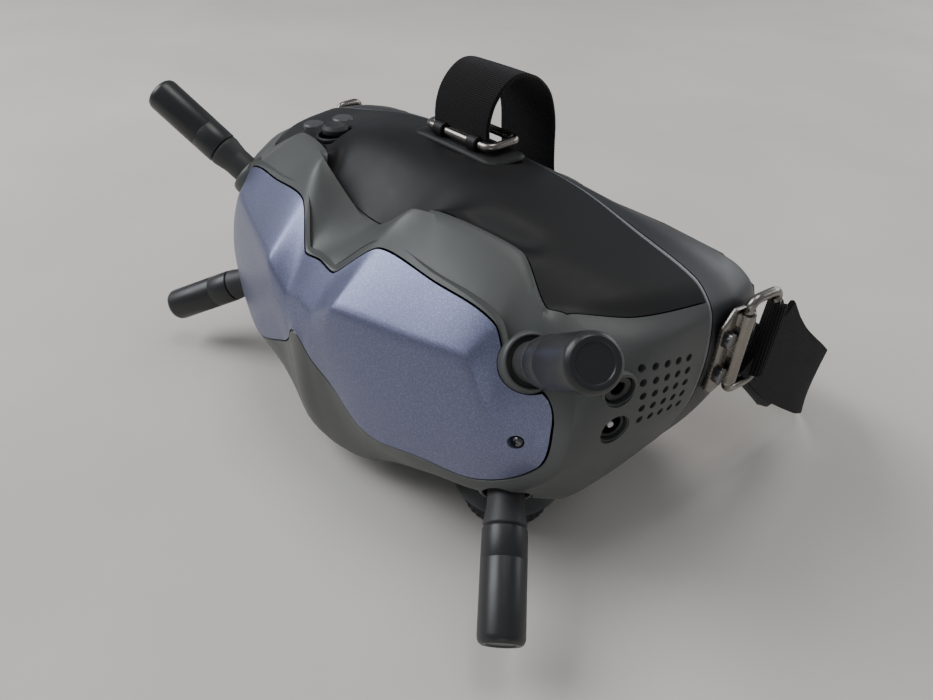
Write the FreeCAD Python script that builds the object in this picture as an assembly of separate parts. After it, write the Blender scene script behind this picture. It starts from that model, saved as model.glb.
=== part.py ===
import FreeCAD, Part
import math
import os

# First person view goggles. Millimetres. +Z is up, -Y is the front (away from the wearer's face),
# +X is the side with the sockets and the air grille. The origin is on the standing surface,
# under the middle of the whole assembly.

V = FreeCAD.Vector
X_AXIS = V(1, 0, 0)
Z_AXIS = V(0, 0, 1)

# ---------------------------------------------------------------- driving dimensions
WALL = 2.6                      # thickness of the housing shells
GAP = 0.3                       # room around a piece that sits in another

EYE_X = 32.0                    # half of the distance between the eyepieces
EYE_Z = 55.0                    # height of the optical axes
IPD_TRAVEL = 3.0                # each eyepiece slides this far to each side
BARREL_R = 19.0
BARREL_FRONT_Y = -8.0
BARREL_REAR_Y = 15.0
BARREL_ROOM = 0.05              # between the barrel and the carrier clamped round it
ROD_R = 1.5
ROD_HALF = 46.0
ROD_Y = -2.0
ROD_Z = (79.5, 30.5)
KNOB_X = 52.0                   # middle of the sliding knob under the housing
KNOB_Y = -12.5
KNOB_R = 13.5
KNOB_HEIGHT = 9.0
KNOB_STEM_R = 4.0
KNOB_ARM = 4.5                  # the carrier's arm reaches this far past the middle of the knob's stem

ANTENNA_R = 5.9
ANTENNA_NECK_R = 5.1
ANTENNA_NECK_LENGTH = 12.0
ANTENNA_LENGTH = 40.0
ANTENNA_ROUND = 1.7
SOCKET_R = 3.1
ANTENNA_TOP_BASE = (70.3, -27.2, 71.4)
ANTENNA_TOP_AIM = (0.707, -0.378, 0.598)
ANTENNA_LOW_BASE = (68.7, -30.6, 31.5)
ANTENNA_LOW_AIM = (0.657, -0.632, -0.411)

# The butterfly shaped front plate, right half: upper edge, crest and lower edge, from the middle out
PLATE_THICKNESS = 2.0
PLATE_UPPER = [(0, -41.5, 72.4), (7.5, -41.6, 71.7), (19.3, -34.3, 81.8), (40, -32, 80.5),
               (59.5, -30, 78), (65.8, -31.2, 71), (77, -28, 64.6)]
PLATE_CREST = [(0, -49, 62), (7, -49.5, 61), (17, -49.3, 67.5), (39, -43.2, 68.8),
               (58.3, -37.8, 69.9), (67.2, -37, 58), (79.3, -28, 57)]
PLATE_LOWER = [(0, -52.2, 52.8), (6.5, -51.2, 46), (13.4, -49.8, 40.8), (31, -49.7, 33.8),
               (50, -45, 35.8), (66.6, -38.9, 37), (79, -31.2, 46.2)]

# Housing outline rings, right half, from the middle of the top to the middle of the bottom
RING_FRAME = [(0, -23, 78.4), (10, -23, 83.5), (21.6, -24, 91.2), (37, -19.5, 89.5),
              (52.7, -15.5, 87.5), (66, -19, 80.5), (80, -22, 71), (84.5, -26.5, 58), (83.2, -29, 44.5),
              (70, -36.6, 33.2), (51, -42.5, 29), (31, -41, 16.5), (19, -43.8, 10.8), (8, -46.8, 10.5),
              (0, -49, 13.5)]
RING_MIDDLE = [(0, -4, 93.6), (10, -4, 94), (22, -5, 94), (38, -5, 92), (56, -5, 87.5),
               (79, -5, 81), (87, -6, 75.5), (90, -5, 62), (88, -4, 46), (79, -4, 24),
               (62, -5, 15), (40, -8, 11), (20, -12, 12), (8, -20, 16), (0, -20, 18)]
RING_COVER = [(0, 20, 93.5), (12, 20, 93.5), (26, 20, 93), (42, 19.5, 91), (62, 18.5, 87),
              (84, 17, 82.5), (89.5, 15.5, 76.5), (91, 15, 62), (89, 15, 46), (80, 15, 26),
              (62, 15, 12), (40, 15, 6), (20, 14, 10), (9, 12, 17), (0, 11, 21)]
RING_REAR = [(0, 27, 88), (12, 27, 88), (26, 27.5, 87.5), (42, 29, 86.5), (60, 32, 85),
             (77, 36, 81.5), (87, 38.5, 75), (90, 41, 62), (87, 41, 47), (79, 39, 30),
             (62, 36, 13), (40, 33, 0.8), (22, 31, 8), (9, 30, 30), (0, 30, 40)]


# ---------------------------------------------------------------- helpers
def mirrored(shape):
    return shape.mirror(V(0, 0, 0), X_AXIS)


def box(x0, x1, y0, y1, z0, z1):
    return Part.makeBox(x1 - x0, y1 - y0, z1 - z0, V(x0, y0, z0))


def cylinder(radius, start, axis, length):
    return Part.makeCylinder(radius, length, V(*start), V(*axis))


def largest(shape):
    return max(shape.Solids, key=lambda solid: solid.Volume)


def turned(profile, start, axis):
    """A profile of (radius, distance along the axis) points turned about the axis."""
    points = [V(r, 0, s) for r, s in profile]
    face = Part.Face(Part.makePolygon(points + [points[0]]))
    solid = face.revolve(V(0, 0, 0), Z_AXIS, 360)
    solid.Placement = FreeCAD.Placement(V(*start), FreeCAD.Rotation(Z_AXIS, V(*axis)))
    return solid


def prism_z(outline, z0, z1):
    """An outline of (x, y) points carried from z0 to z1."""
    points = [V(x, y, z0) for x, y in outline]
    return Part.Face(Part.makePolygon(points + [points[0]])).extrude(V(0, 0, z1 - z0))


def prism_x(outline, x0, x1):
    """An outline of (y, z) points carried from x0 to x1."""
    points = [V(x0, y, z) for y, z in outline]
    return Part.Face(Part.makePolygon(points + [points[0]])).extrude(V(x1 - x0, 0, 0))


def full_ring(half):
    """A closed loop of points from its right half, whose first and last points lie on x = 0."""
    left = [(-x, y, z) for x, y, z in half[1:-1]]
    return half + left[::-1]


def facet(a, b, c):
    return Part.Face(Part.makePolygon([V(*a), V(*b), V(*c), V(*a)]))


def closed_solid(triangles):
    shell = Part.makeShell([facet(*t) for t in triangles])
    solid = Part.makeSolid(shell)
    if solid.Volume < 0:
        solid.reverse()
    return solid


def strip(line_a, line_b):
    """Two triangles between each pair of neighbours of two open lines."""
    out = []
    for i in range(len(line_a) - 1):
        out.append((line_a[i], line_a[i + 1], line_b[i]))
        out.append((line_a[i + 1], line_b[i + 1], line_b[i]))
    return [t for t in out if len(set(t)) == 3]


def band(loop_a, loop_b):
    """Triangles all the way round between two closed loops with as many points."""
    return strip(loop_a + loop_a[:1], loop_b + loop_b[:1])


def flipped(triangles):
    return [(a, c, b) for a, b, c in triangles]


def moved(points, dy):
    return [(x, y + dy, z) for x, y, z in points]


def shrunk(points, factor, middle=(45.0, 50.0)):
    """Each half of the plate drawn in towards the middle of its own lobe."""
    out = []
    for x, y, z in points:
        cx = middle[0] if x > 0 else 0.0
        out.append((cx + (x - cx) * factor, y, middle[1] + (z - middle[1]) * factor))
    return out


def plate_outline(upper, crest, lower):
    return upper + [crest[-1]] + lower[::-1]


def plate_surface(upper, crest, lower):
    """Triangles of the plate's face, facing -Y."""
    half = strip(upper, crest) + strip(crest, lower)
    edge = [(upper[-1], crest[-1], crest[-1])]
    half = [t for t in half if t not in edge]
    other = [tuple((-x, y, z) for x, y, z in t) for t in half]
    return half + flipped(other)


def plate_solid(front, back, factor):
    """The plate's own shape between two distances behind its face."""
    rows = [shrunk(r, factor) for r in (PLATE_UPPER, PLATE_CREST, PLATE_LOWER)]
    near = [moved(r, front) for r in rows]
    far = [moved(r, back) for r in rows]
    near_loop = full_ring(plate_outline(*near))
    far_loop = full_ring(plate_outline(*far))
    triangles = flipped(plate_surface(*near)) + plate_surface(*far) + band(near_loop, far_loop)
    return closed_solid(triangles)


def drawn_in(half, distance, dy):
    """A ring moved inwards across its own outline in the XZ plane."""
    n = len(half)
    out = []
    for i in range(n):
        before = half[i - 1] if i > 0 else (-half[1][0], half[1][1], half[1][2])
        after = half[i + 1] if i < n - 1 else (-half[n - 2][0], half[n - 2][1], half[n - 2][2])
        tx = after[0] - before[0]
        tz = after[2] - before[2]
        size = math.hypot(tx, tz)
        x = half[i][0] + tz / size * distance
        z = half[i][2] - tx / size * distance
        if i in (0, n - 1):
            x = 0.0
        out.append((max(x, 0.0), half[i][1] + dy, z))
    return out


def envelope(plate_rows, rings):
    """A closed solid from the plate's face back through the housing's rings."""
    loops = [full_ring(plate_outline(*plate_rows))] + [full_ring(r) for r in rings]
    triangles = flipped(plate_surface(*plate_rows))
    for a, b in zip(loops, loops[1:]):
        triangles += band(a, b)
    last = rings[-1]
    top = last[:8]
    bottom = last[:6:-1]
    rear = strip(top, bottom)
    other = [tuple((-x, y, z) for x, y, z in t) for t in rear]
    triangles += rear + flipped(other)
    return closed_solid(triangles)


# ---------------------------------------------------------------- housing
PLATE_ROWS = (PLATE_UPPER, PLATE_CREST, PLATE_LOWER)
COVER_FRONT = [(0, -22), (10, -22), (21.6, -22.5), (37, -18), (52, -14), (66, -16), (70, -12),
               (82, 2), (95, 14)]          # top view of the cover's front edge, right half
SPLIT_Y = [(0, 24), (30, 23), (62, 19.5), (95, 15)]      # front edge of the rear shell, top view
TRIM_DEPTH = 1.6
COVER_EDGE_Z = 79.6
COVER_INNER_Z = 74.0
LOWER_EDGE_Z = 27.0
LOWER_FRONT_Y = -20.0


def symmetric(line):
    return [(-x, y) for x, y in line[:0:-1]] + line


def outer_envelope():
    return envelope(PLATE_ROWS, [RING_FRAME, RING_MIDDLE, RING_COVER, RING_REAR])


def inner_envelope():
    rows = [moved(shrunk(r, 0.93), 4.0) for r in PLATE_ROWS]
    rings = [drawn_in(RING_FRAME, WALL * 1.15, 3.0)]
    rings += [drawn_in(r, WALL, 0.0) for r in (RING_MIDDLE, RING_COVER, RING_REAR)]
    rings.append(moved(rings[-1], 25))
    return envelope(rows, rings)


def behind(line, shift):
    """Everything behind a line drawn in the top view."""
    edge = [(x, y + shift) for x, y in symmetric(line)]
    return prism_z(edge + [(120, 90), (-120, 90)], -5, 120)


def antenna_places():
    """Name, base point and aim of the four antennas."""
    out = []
    for name, base, aim in (("top", ANTENNA_TOP_BASE, ANTENNA_TOP_AIM),
                            ("low", ANTENNA_LOW_BASE, ANTENNA_LOW_AIM)):
        for side, sign in (("right", 1), ("left", -1)):
            out.append((name + "_" + side, (base[0] * sign, base[1], base[2]),
                        (aim[0] * sign, aim[1], aim[2])))
    return out


def along(base, aim, distance):
    return tuple(b + a * distance for b, a in zip(base, aim))


# Each antenna stands in a cup with a screwed socket in its floor; distances run along its axis
CUP_R = 7.6
CUP_BORE_R = 6.6
CUP_MOUTH = 2.4
CUP_FLOOR = -0.5
CUP_BACK = -3.5
NUT_R = 4.4


def antenna_cups():
    cups = []
    bores = []
    for name, base, aim in antenna_places():
        cup = cylinder(CUP_R, along(base, aim, CUP_BACK), aim, CUP_MOUTH - CUP_BACK)
        bore = cylinder(CUP_BORE_R, along(base, aim, CUP_FLOOR), aim, 16)
        thread = cylinder(SOCKET_R, along(base, aim, CUP_BACK - 4), aim, 12)
        cups.append(cup)
        bores.append(bore.fuse(thread))
    return cups, bores


BOSS_R = 17.0
BOSS_TOP_Z = 22.0
SLOT_HALF = KNOB_STEM_R + 0.5


def knob_boss():
    """The flared foot of the housing over one sliding knob."""
    profile = [(0, KNOB_HEIGHT + 0.4), (BOSS_R - 1.5, KNOB_HEIGHT + 0.4), (BOSS_R, KNOB_HEIGHT + 2),
               (BOSS_R - 2, BOSS_TOP_Z), (0, BOSS_TOP_Z)]
    return turned(profile, (KNOB_X, KNOB_Y, 0), (0, 0, 1))


def knob_slot():
    """The long hole the knob's stem slides in."""
    reach = IPD_TRAVEL
    middle = box(KNOB_X - reach, KNOB_X + reach, KNOB_Y - SLOT_HALF, KNOB_Y + SLOT_HALF, 0, 30)
    ends = [cylinder(SLOT_HALF, (KNOB_X + s * reach, KNOB_Y, 0), (0, 0, 1), 30) for s in (-1, 1)]
    return middle.fuse(ends)


PORT_AIM = (0.944, -0.33, 0.0)
AUDIO_AT = (86.9, -14.6, 66.9)
POWER_AT = (86.9, -14.7, 55.6)
PORT_R = 3.75
GRILLE_PITCH_Y = 3.95
GRILLE_PITCH_Z = 3.9
GRILLE_FIRST = (-8.8, 71.2)
GRILLE_HOLE_R = 1.05
GRILLE_COUNT = 5
GRILLE_LEAN_Y = 0.35            # each row starts this much further back
GRILLE_LEAN_Z = 0.7             # each column starts this much lower


def grille_holes():
    holes = []
    for i in range(GRILLE_COUNT):
        for j in range(GRILLE_COUNT):
            y = GRILLE_FIRST[0] + i * GRILLE_PITCH_Y + j * GRILLE_LEAN_Y
            z = GRILLE_FIRST[1] - j * GRILLE_PITCH_Z - i * GRILLE_LEAN_Z
            holes.append(cylinder(GRILLE_HOLE_R, (82, y, z), (1, 0, 0), 14))
    return holes


RECORD_AT = (-53.0, 2.0)
BACK_AT = (-59.0, -6.0)
JOYSTICK_AT = (-40.0, -9.0)
BUTTON_R = 3.6
JOYSTICK_HOLE_R = 5.6
JOYSTICK_R = 4.2
WINDOW_YZ = (-2.0, 10.0, 56.0, 64.0)
CHANNEL_UP_AT = (4.0, 69.0)
CHANNEL_DOWN_AT = (4.0, 51.0)
LINK_AT = (-12.0, 60.0)
SIDE_BUTTON_R = 2.6
USB_AT = (-10.0, 43.0)
USB_SIZE = (9.2, 3.4)
CARD_AT = (5.0, 43.0)
CARD_SIZE = (12.0, 1.8)
SOCKET_SHELL = 0.4              # wall of the data socket and the card reader
SOCKET_ROOM = 0.6


def side_openings():
    """Openings in the -X wall: channel display, its two buttons, link button, data socket, card."""
    y0, y1, z0, z1 = WINDOW_YZ
    cuts = [box(-95, -83, y0 - GAP, y1 + GAP, z0 - GAP, z1 + GAP)]
    for y, z in (CHANNEL_UP_AT, CHANNEL_DOWN_AT, LINK_AT):
        cuts.append(cylinder(SIDE_BUTTON_R + GAP, (-95, y, z), (1, 0, 0), 15))
    for (y, z), (w, h) in ((USB_AT, USB_SIZE), (CARD_AT, CARD_SIZE)):
        cuts.append(box(-95, -70, y - w / 2 - SOCKET_ROOM, y + w / 2 + SOCKET_ROOM,
                        z - h / 2 - SOCKET_ROOM, z + h / 2 + SOCKET_ROOM))
    return cuts


PLATE_SCREW_AT = [(73.7, -32.0, 52.4)]
PLATE_SCREW_R = 1.5
PLATE_ROOM = 0.45               # between the plate and the frame behind it

MOUNT_Y = (6.0, 21.0)
MOUNT_HALF_X = 20.0
BRACKET_Y = (15.5, 29.5)
BRACKET_Z = (50.0, 77.0)
PAD_X = 91.2
RING_WIRE_R = 1.3


def strap_pad():
    """Flat seat on the side of the rear shell for a strap bracket."""
    outline = [(BRACKET_Y[0] + 1, BRACKET_Z[0]), (BRACKET_Y[1], BRACKET_Z[0] + 3),
               (BRACKET_Y[1], BRACKET_Z[1] - 3), (BRACKET_Y[0] + 1, BRACKET_Z[1])]
    return prism_x(outline, PAD_X - 5, PAD_X)


def make_housing(parts):
    outer = outer_envelope()
    inner = inner_envelope()
    shell = outer.cut(inner)
    cups, bores = antenna_cups()
    boss = knob_boss()
    bosses = [boss, mirrored(boss)]
    slots = [knob_slot(), mirrored(knob_slot())]

    rear_zone = behind(SPLIT_Y, 0)
    trim_zone = behind(SPLIT_Y, -TRIM_DEPTH)
    cover_zone = behind(COVER_FRONT, 0)
    cover_top = box(-100, 100, -60, 60, COVER_EDGE_Z, 120)
    cover_middle = box(-60, 60, -60, 60, COVER_INNER_Z, COVER_EDGE_Z)
    cover_zone = cover_zone.common(cover_top.fuse(cover_middle)).cut(trim_zone)
    lower_zone = box(-110, 110, LOWER_FRONT_Y, 80, -5, LOWER_EDGE_Z).cut(trim_zone)

    pads = [strap_pad(), mirrored(strap_pad())]
    rear = shell.common(rear_zone).fuse([p.cut(inner) for p in pads])
    parts["rear_shell"] = rear.cut(trim_zone.cut(rear_zone))
    parts["trim_line"] = shell.common(trim_zone).cut(rear_zone).cut(pads)

    mount_hole = box(-MOUNT_HALF_X + 4, MOUNT_HALF_X - 4, MOUNT_Y[0] + 3, MOUNT_Y[1] - 3, 80, 100)
    cover = shell.common(cover_zone)
    holes = [cylinder(BUTTON_R + GAP, (x, y, 70), (0, 0, 1), 30) for x, y in (RECORD_AT, BACK_AT)]
    holes.append(cylinder(JOYSTICK_HOLE_R, (JOYSTICK_AT[0], JOYSTICK_AT[1], 70), (0, 0, 1), 30))
    parts["top_cover"] = cover.cut(holes + [mount_hole])

    lower = shell.common(lower_zone).fuse([b.cut(inner) for b in bosses])
    lower = lower.cut(slots)
    parts["lower_shell"] = lower

    front = shell.cut(trim_zone).cut(cover_zone).cut(lower_zone).cut(bosses)
    front = front.fuse([c.cut(plate_solid(-30, PLATE_THICKNESS + 0.2, 1.0)) for c in cups])
    front = front.cut(bores)
    nuts = [cylinder(NUT_R + GAP, along(b, a, CUP_BACK - 9), a, 9) for n, b, a in antenna_places()]
    front = front.cut(nuts)
    front = front.cut(plate_solid(-12, PLATE_THICKNESS + PLATE_ROOM, 1.0))
    front = front.cut(plate_solid(-6, 14, 0.9))
    ports = [cylinder(PORT_R + GAP, along(at, PORT_AIM, -7), PORT_AIM, 12)
             for at in (AUDIO_AT, POWER_AT)]
    front = front.cut(ports + grille_holes() + side_openings())
    for x, y, z in PLATE_SCREW_AT:
        for sign in (1, -1):
            front = front.cut(cylinder(PLATE_SCREW_R + 0.1, (sign * x, y, z), (0, 1, 0), 8))
    parts["front_frame"] = largest(front)

    plate = plate_solid(0, PLATE_THICKNESS, 0.993)
    plate = plate.cut([cylinder(CUP_R + GAP, along(b, a, -8), a, 30) for n, b, a in antenna_places()])
    screws = []
    for x, y, z in PLATE_SCREW_AT:
        for sign in (1, -1):
            plate = plate.cut(cylinder(PLATE_SCREW_R + 0.1, (sign * x, y - 6, z), (0, 1, 0), 14))
            head = cylinder(PLATE_SCREW_R, (sign * x, y + 1.0, z), (0, 1, 0), 5)
            screws.append(head)
    parts["front_plate"] = plate
    parts["plate_screws"] = Part.makeCompound(screws)

    panel = inner.common(box(-100, 100, 17, 19, -5, 120))
    for sign in (1, -1):
        hole = box(EYE_X - IPD_TRAVEL, EYE_X + IPD_TRAVEL, 10, 25, EYE_Z - BARREL_R - 0.6,
                   EYE_Z + BARREL_R + 0.6)
        for end in (-1, 1):
            hole = hole.fuse(cylinder(BARREL_R + 0.6, (EYE_X + end * IPD_TRAVEL, 10, EYE_Z),
                                      (0, 1, 0), 15))
        panel = panel.cut(hole if sign > 0 else mirrored(hole))
    parts["inner_panel"] = panel

    mesh = box(82.6, 83.2, -8.5, 11.5, 49.5, 71)
    parts["grille_mesh"] = mesh


# ---------------------------------------------------------------- eyepieces
def make_eyepiece(parts, side, sign):
    """Barrel, lens, screen, carrier and finger knob of one eye. They slide together along X."""
    ex = EYE_X
    length = BARREL_REAR_Y - BARREL_FRONT_Y
    barrel = cylinder(BARREL_R, (ex, BARREL_FRONT_Y, EYE_Z), (0, 1, 0), length)
    rim = cylinder(BARREL_R - 0.4, (ex, BARREL_REAR_Y, EYE_Z), (0, 1, 0), 5)
    barrel = barrel.fuse(rim)
    barrel = barrel.cut(cylinder(BARREL_R - 2.2, (ex, BARREL_FRONT_Y - 1, EYE_Z), (0, 1, 0), 40))
    seat = cylinder(BARREL_R - 1.0, (ex, 11, EYE_Z), (0, 1, 0), 4)
    barrel = barrel.cut(seat)

    lens = cylinder(BARREL_R - 1.1, (ex, 11.2, EYE_Z), (0, 1, 0), 2.4)
    dome_r = 42.0
    dome = Part.makeSphere(dome_r, V(ex, 16.5 - dome_r, EYE_Z))
    lens = lens.fuse(dome.common(cylinder(BARREL_R - 2.6, (ex, 13.6, EYE_Z), (0, 1, 0), 6)))

    screen = box(ex - 17, ex + 17, -13.2, -11.2, EYE_Z - 14, EYE_Z + 14)
    frame = box(ex - 19, ex + 19, -11.2, BARREL_FRONT_Y, EYE_Z - 17, EYE_Z + 17)
    barrel = barrel.fuse(frame.cut(box(ex - 15, ex + 15, -12, 0, EYE_Z - 12, EYE_Z + 12)))

    carrier = cylinder(BARREL_R + 3, (ex, -4, EYE_Z), (0, 1, 0), 4)
    upper = box(ex - 8, ex + 8, -4.5, 0.5, EYE_Z + BARREL_R, ROD_Z[0] + 3.5)
    lower = box(ex - 8, ex + 8, -4.5, 0.5, ROD_Z[1] - 3.5, EYE_Z - BARREL_R)
    arm = box(ex, KNOB_X + KNOB_ARM, KNOB_Y - KNOB_ARM, 0.5, ROD_Z[1] - 6.5, ROD_Z[1] - 3.5)
    carrier = carrier.fuse([upper, lower, arm])
    carrier = carrier.cut(cylinder(BARREL_R + BARREL_ROOM, (ex, -10, EYE_Z), (0, 1, 0), 20))
    for z in ROD_Z:
        carrier = carrier.cut(cylinder(ROD_R + 0.2, (ex - 20, ROD_Y, z), (1, 0, 0), 40))

    stem_top = ROD_Z[1] - 6.5
    knob = turned([(0, 0), (KNOB_R - 0.8, 0), (KNOB_R, 0.8), (KNOB_R, KNOB_HEIGHT - 1.5),
                   (KNOB_R - 1.5, KNOB_HEIGHT), (KNOB_STEM_R, KNOB_HEIGHT),
                   (KNOB_STEM_R, stem_top), (0, stem_top)], (KNOB_X, KNOB_Y, 0), (0, 0, 1))
    for i in range(24):
        angle = i * 15
        groove = cylinder(0.55, (KNOB_R + 0.1, 0, -1), (0, 0, 1), KNOB_HEIGHT - 1)
        groove.rotate(V(0, 0, 0), Z_AXIS, angle)
        groove.translate(V(KNOB_X, KNOB_Y, 0))
        knob = knob.cut(groove)

    made = {"eye_barrel": barrel, "eye_lens": lens, "eye_screen": screen,
            "eye_carrier": carrier, "eye_knob": knob}
    for name, shape in made.items():
        parts[name + "_" + side] = shape if sign > 0 else mirrored(shape)


FAN_AT = (5.4, 60.0)
FAN_SIZE = 22.8
FAN_R = 9.8


def make_electronics(parts):
    rods = [cylinder(ROD_R, (-ROD_HALF, ROD_Y, z), (1, 0, 0), 2 * ROD_HALF) for z in ROD_Z]
    parts["guide_rods"] = Part.makeCompound(rods)
    board = box(-62, 62, -24, -22.4, 36, 66)
    for x in (-58, 58):
        for z in (40, 62):
            board = board.cut(cylinder(1.6, (x, -30, z), (0, 1, 0), 20))
    parts["main_board"] = board
    sink = box(-22, 22, -27, -24, 40, 64)
    for i in range(8):
        x = -21 + i * 5.6
        sink = sink.fuse(box(x, x + 1.8, -36, -27, 44, 64))
    parts["heat_sink"] = sink

    axis_y, axis_z = FAN_AT
    half = FAN_SIZE / 2
    casing = box(67, 77, axis_y - half, axis_y + half, axis_z - half, axis_z + half)
    casing = casing.cut(cylinder(FAN_R + 0.7, (68.2, axis_y, axis_z), (1, 0, 0), 20))
    casing = casing.cut(box(68.2, 75.5, axis_y - half - 1, axis_y, axis_z - half + 2, axis_z - 2))
    spindle = cylinder(1.2, (67.5, axis_y, axis_z), (1, 0, 0), 7)
    parts["fan_housing"] = casing.fuse(spindle)
    hub = cylinder(FAN_R * 0.45, (69, axis_y, axis_z), (1, 0, 0), 6.5)
    back = cylinder(FAN_R, (69, axis_y, axis_z), (1, 0, 0), 0.8)
    rotor = hub.fuse(back)
    for i in range(11):
        blade = box(69.4, 74.8, axis_y - 0.4, axis_y + 0.4, axis_z + FAN_R * 0.4, axis_z + FAN_R)
        blade.rotate(V(69, axis_y, axis_z), X_AXIS, i * 360 / 11)
        rotor = rotor.fuse(blade)
    parts["fan_rotor"] = rotor.cut(cylinder(1.4, (60, axis_y, axis_z), (1, 0, 0), 30))

    audio = cylinder(PORT_R, along(AUDIO_AT, PORT_AIM, -13.2), PORT_AIM, 13)
    parts["audio_socket"] = audio.cut(cylinder(1.8, along(AUDIO_AT, PORT_AIM, -11.2), PORT_AIM, 12))
    power = cylinder(PORT_R, along(POWER_AT, PORT_AIM, -13.2), PORT_AIM, 13)
    power = power.cut(cylinder(2.8, along(POWER_AT, PORT_AIM, -9.7), PORT_AIM, 12))
    power = power.fuse(cylinder(1.05, along(POWER_AT, PORT_AIM, -10), PORT_AIM, 9.3))
    parts["power_socket"] = power
    y, z = USB_AT
    w, h = USB_SIZE
    t = SOCKET_SHELL
    usb = box(-85.2, -78, y - w / 2 - t, y + w / 2 + t, z - h / 2 - t, z + h / 2 + t)
    usb = usb.cut(box(-90, -79, y - w / 2, y + w / 2, z - h / 2, z + h / 2))
    parts["data_socket"] = usb.fuse(box(-84.2, -78.5, y - 3.2, y + 3.2, z - 0.35, z + 0.35))
    y, z = CARD_AT
    w, h = CARD_SIZE
    card = box(-86.4, -70, y - w / 2 - t, y + w / 2 + t, z - h / 2 - t, z + h / 2 + t)
    parts["card_reader"] = card.cut(box(-90, -71, y - w / 2, y + w / 2, z - h / 2, z + h / 2))


# ---------------------------------------------------------------- antennas
def make_antennas(parts):
    sockets = []
    for name, base, aim in antenna_places():
        foot = [(SOCKET_R + 0.15, 0), (ANTENNA_NECK_R - 0.3, 0), (ANTENNA_NECK_R, 0.3),
                (ANTENNA_NECK_R, 3.5), (ANTENNA_R - 0.15, ANTENNA_NECK_LENGTH - 2),
                (ANTENNA_R - 0.15, ANTENNA_NECK_LENGTH - 0.4), (0, ANTENNA_NECK_LENGTH - 0.4),
                (0, 6.5), (SOCKET_R + 0.15, 6.5)]
        parts["antenna_foot_" + name] = turned(foot, base, aim)
        r = ANTENNA_R
        c = ANTENNA_ROUND
        top = ANTENNA_LENGTH
        sleeve = [(0, ANTENNA_NECK_LENGTH - 0.4), (r - 0.7, ANTENNA_NECK_LENGTH - 0.4),
                  (r - 0.7, ANTENNA_NECK_LENGTH), (r, ANTENNA_NECK_LENGTH), (r, top - c)]
        for i in range(1, 6):
            a = math.radians(i * 18)
            sleeve.append((r - c + c * math.cos(a), top - c + c * math.sin(a)))
        sleeve.append((0, top))
        parts["antenna_sleeve_" + name] = turned(sleeve, base, aim)
        thread = cylinder(SOCKET_R - 0.15, along(base, aim, CUP_BACK - 1.5), aim, 9.5)
        nut = cylinder(NUT_R, along(base, aim, CUP_BACK - 2.4), aim, 2.2)
        sockets.append(thread.fuse(nut))
    parts["antenna_sockets"] = Part.makeCompound(sockets)


# ---------------------------------------------------------------- controls
COVER_TOP_AT = {"record": 88.6, "back": 86.6, "joystick": 91.0}


def make_controls(parts):
    for name, (x, y) in (("record", RECORD_AT), ("back", BACK_AT)):
        top = COVER_TOP_AT[name] + 1.4
        cap = turned([(0, top - 9), (BUTTON_R + 0.9, top - 9), (BUTTON_R + 0.9, top - 8),
                      (BUTTON_R, top - 8), (BUTTON_R, top - 0.5), (BUTTON_R - 0.5, top), (0, top)],
                     (x, y, 0), (0, 0, 1))
        parts[name + "_button"] = cap
    x, y = JOYSTICK_AT
    top = COVER_TOP_AT["joystick"] + 2.2
    cap = turned([(0, 83.8), (1.2, 83.8), (1.2, top - 2.4), (JOYSTICK_R, top - 2.4),
                  (JOYSTICK_R, top - 1.0), (JOYSTICK_R - 1.0, top), (1.6, top - 0.5), (0, top - 0.5)],
                 (x, y, 0), (0, 0, 1))
    parts["joystick_cap"] = cap
    yoke = cylinder(3.2, (x, y, 84.0), (0, 0, 1), 1.6)
    parts["joystick_yoke"] = yoke.cut(cylinder(1.9, (x, y, 83), (0, 0, 1), 4))
    parts["joystick_plunger"] = cylinder(2.6, (x, y, 79.6), (0, 0, 1), 3.2)
    for name, (y, z) in (("channel_up", CHANNEL_UP_AT), ("channel_down", CHANNEL_DOWN_AT),
                         ("link", LINK_AT)):
        face = 90.4 if name != "link" else 89.4
        stem = cylinder(SIDE_BUTTON_R, (-face, y, z), (1, 0, 0), 7)
        flange = cylinder(SIDE_BUTTON_R + 0.8, (-face + 7, y, z), (1, 0, 0), 1)
        parts[name + "_button"] = stem.fuse(flange)
    y0, y1, z0, z1 = WINDOW_YZ
    parts["channel_window"] = box(-90.6, -88.8, y0, y1, z0, z1)
    parts["channel_display"] = box(-88.4, -86.6, y0 + 0.5, y1 - 0.5, z0 + 0.5, z1 - 0.5)


# ---------------------------------------------------------------- strap hardware
RING_OUT = 11.0            # distance between the two long bars of a strap ring
RING_HALF = 14.2           # half length of the long bars


def bar(start, end, radius):
    axis = V(*end) - V(*start)
    return Part.makeCylinder(radius, axis.Length, V(*start), axis)


def wire_ring(a, b, c, d):
    """A closed ring of round wire through four corners."""
    r = RING_WIRE_R
    ring = Part.makeSphere(r, V(*a))
    for p in (b, c, d):
        ring = ring.fuse(Part.makeSphere(r, V(*p)))
    return ring.fuse([bar(a, b, r), bar(b, c, r), bar(c, d, r), bar(d, a, r)])


TOP_RING_Y = 9.0
TOP_RING_Z = 97.2
SIDE_RING_X = 93.7
SIDE_RING_Y = 25.0
SIDE_RING_Z = 65.0
BRACKET_SCREW_Y = 20.2
SIDE_RING_TURN = 0.12      # the side ring's outer bar stands out by this share of its length


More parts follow.
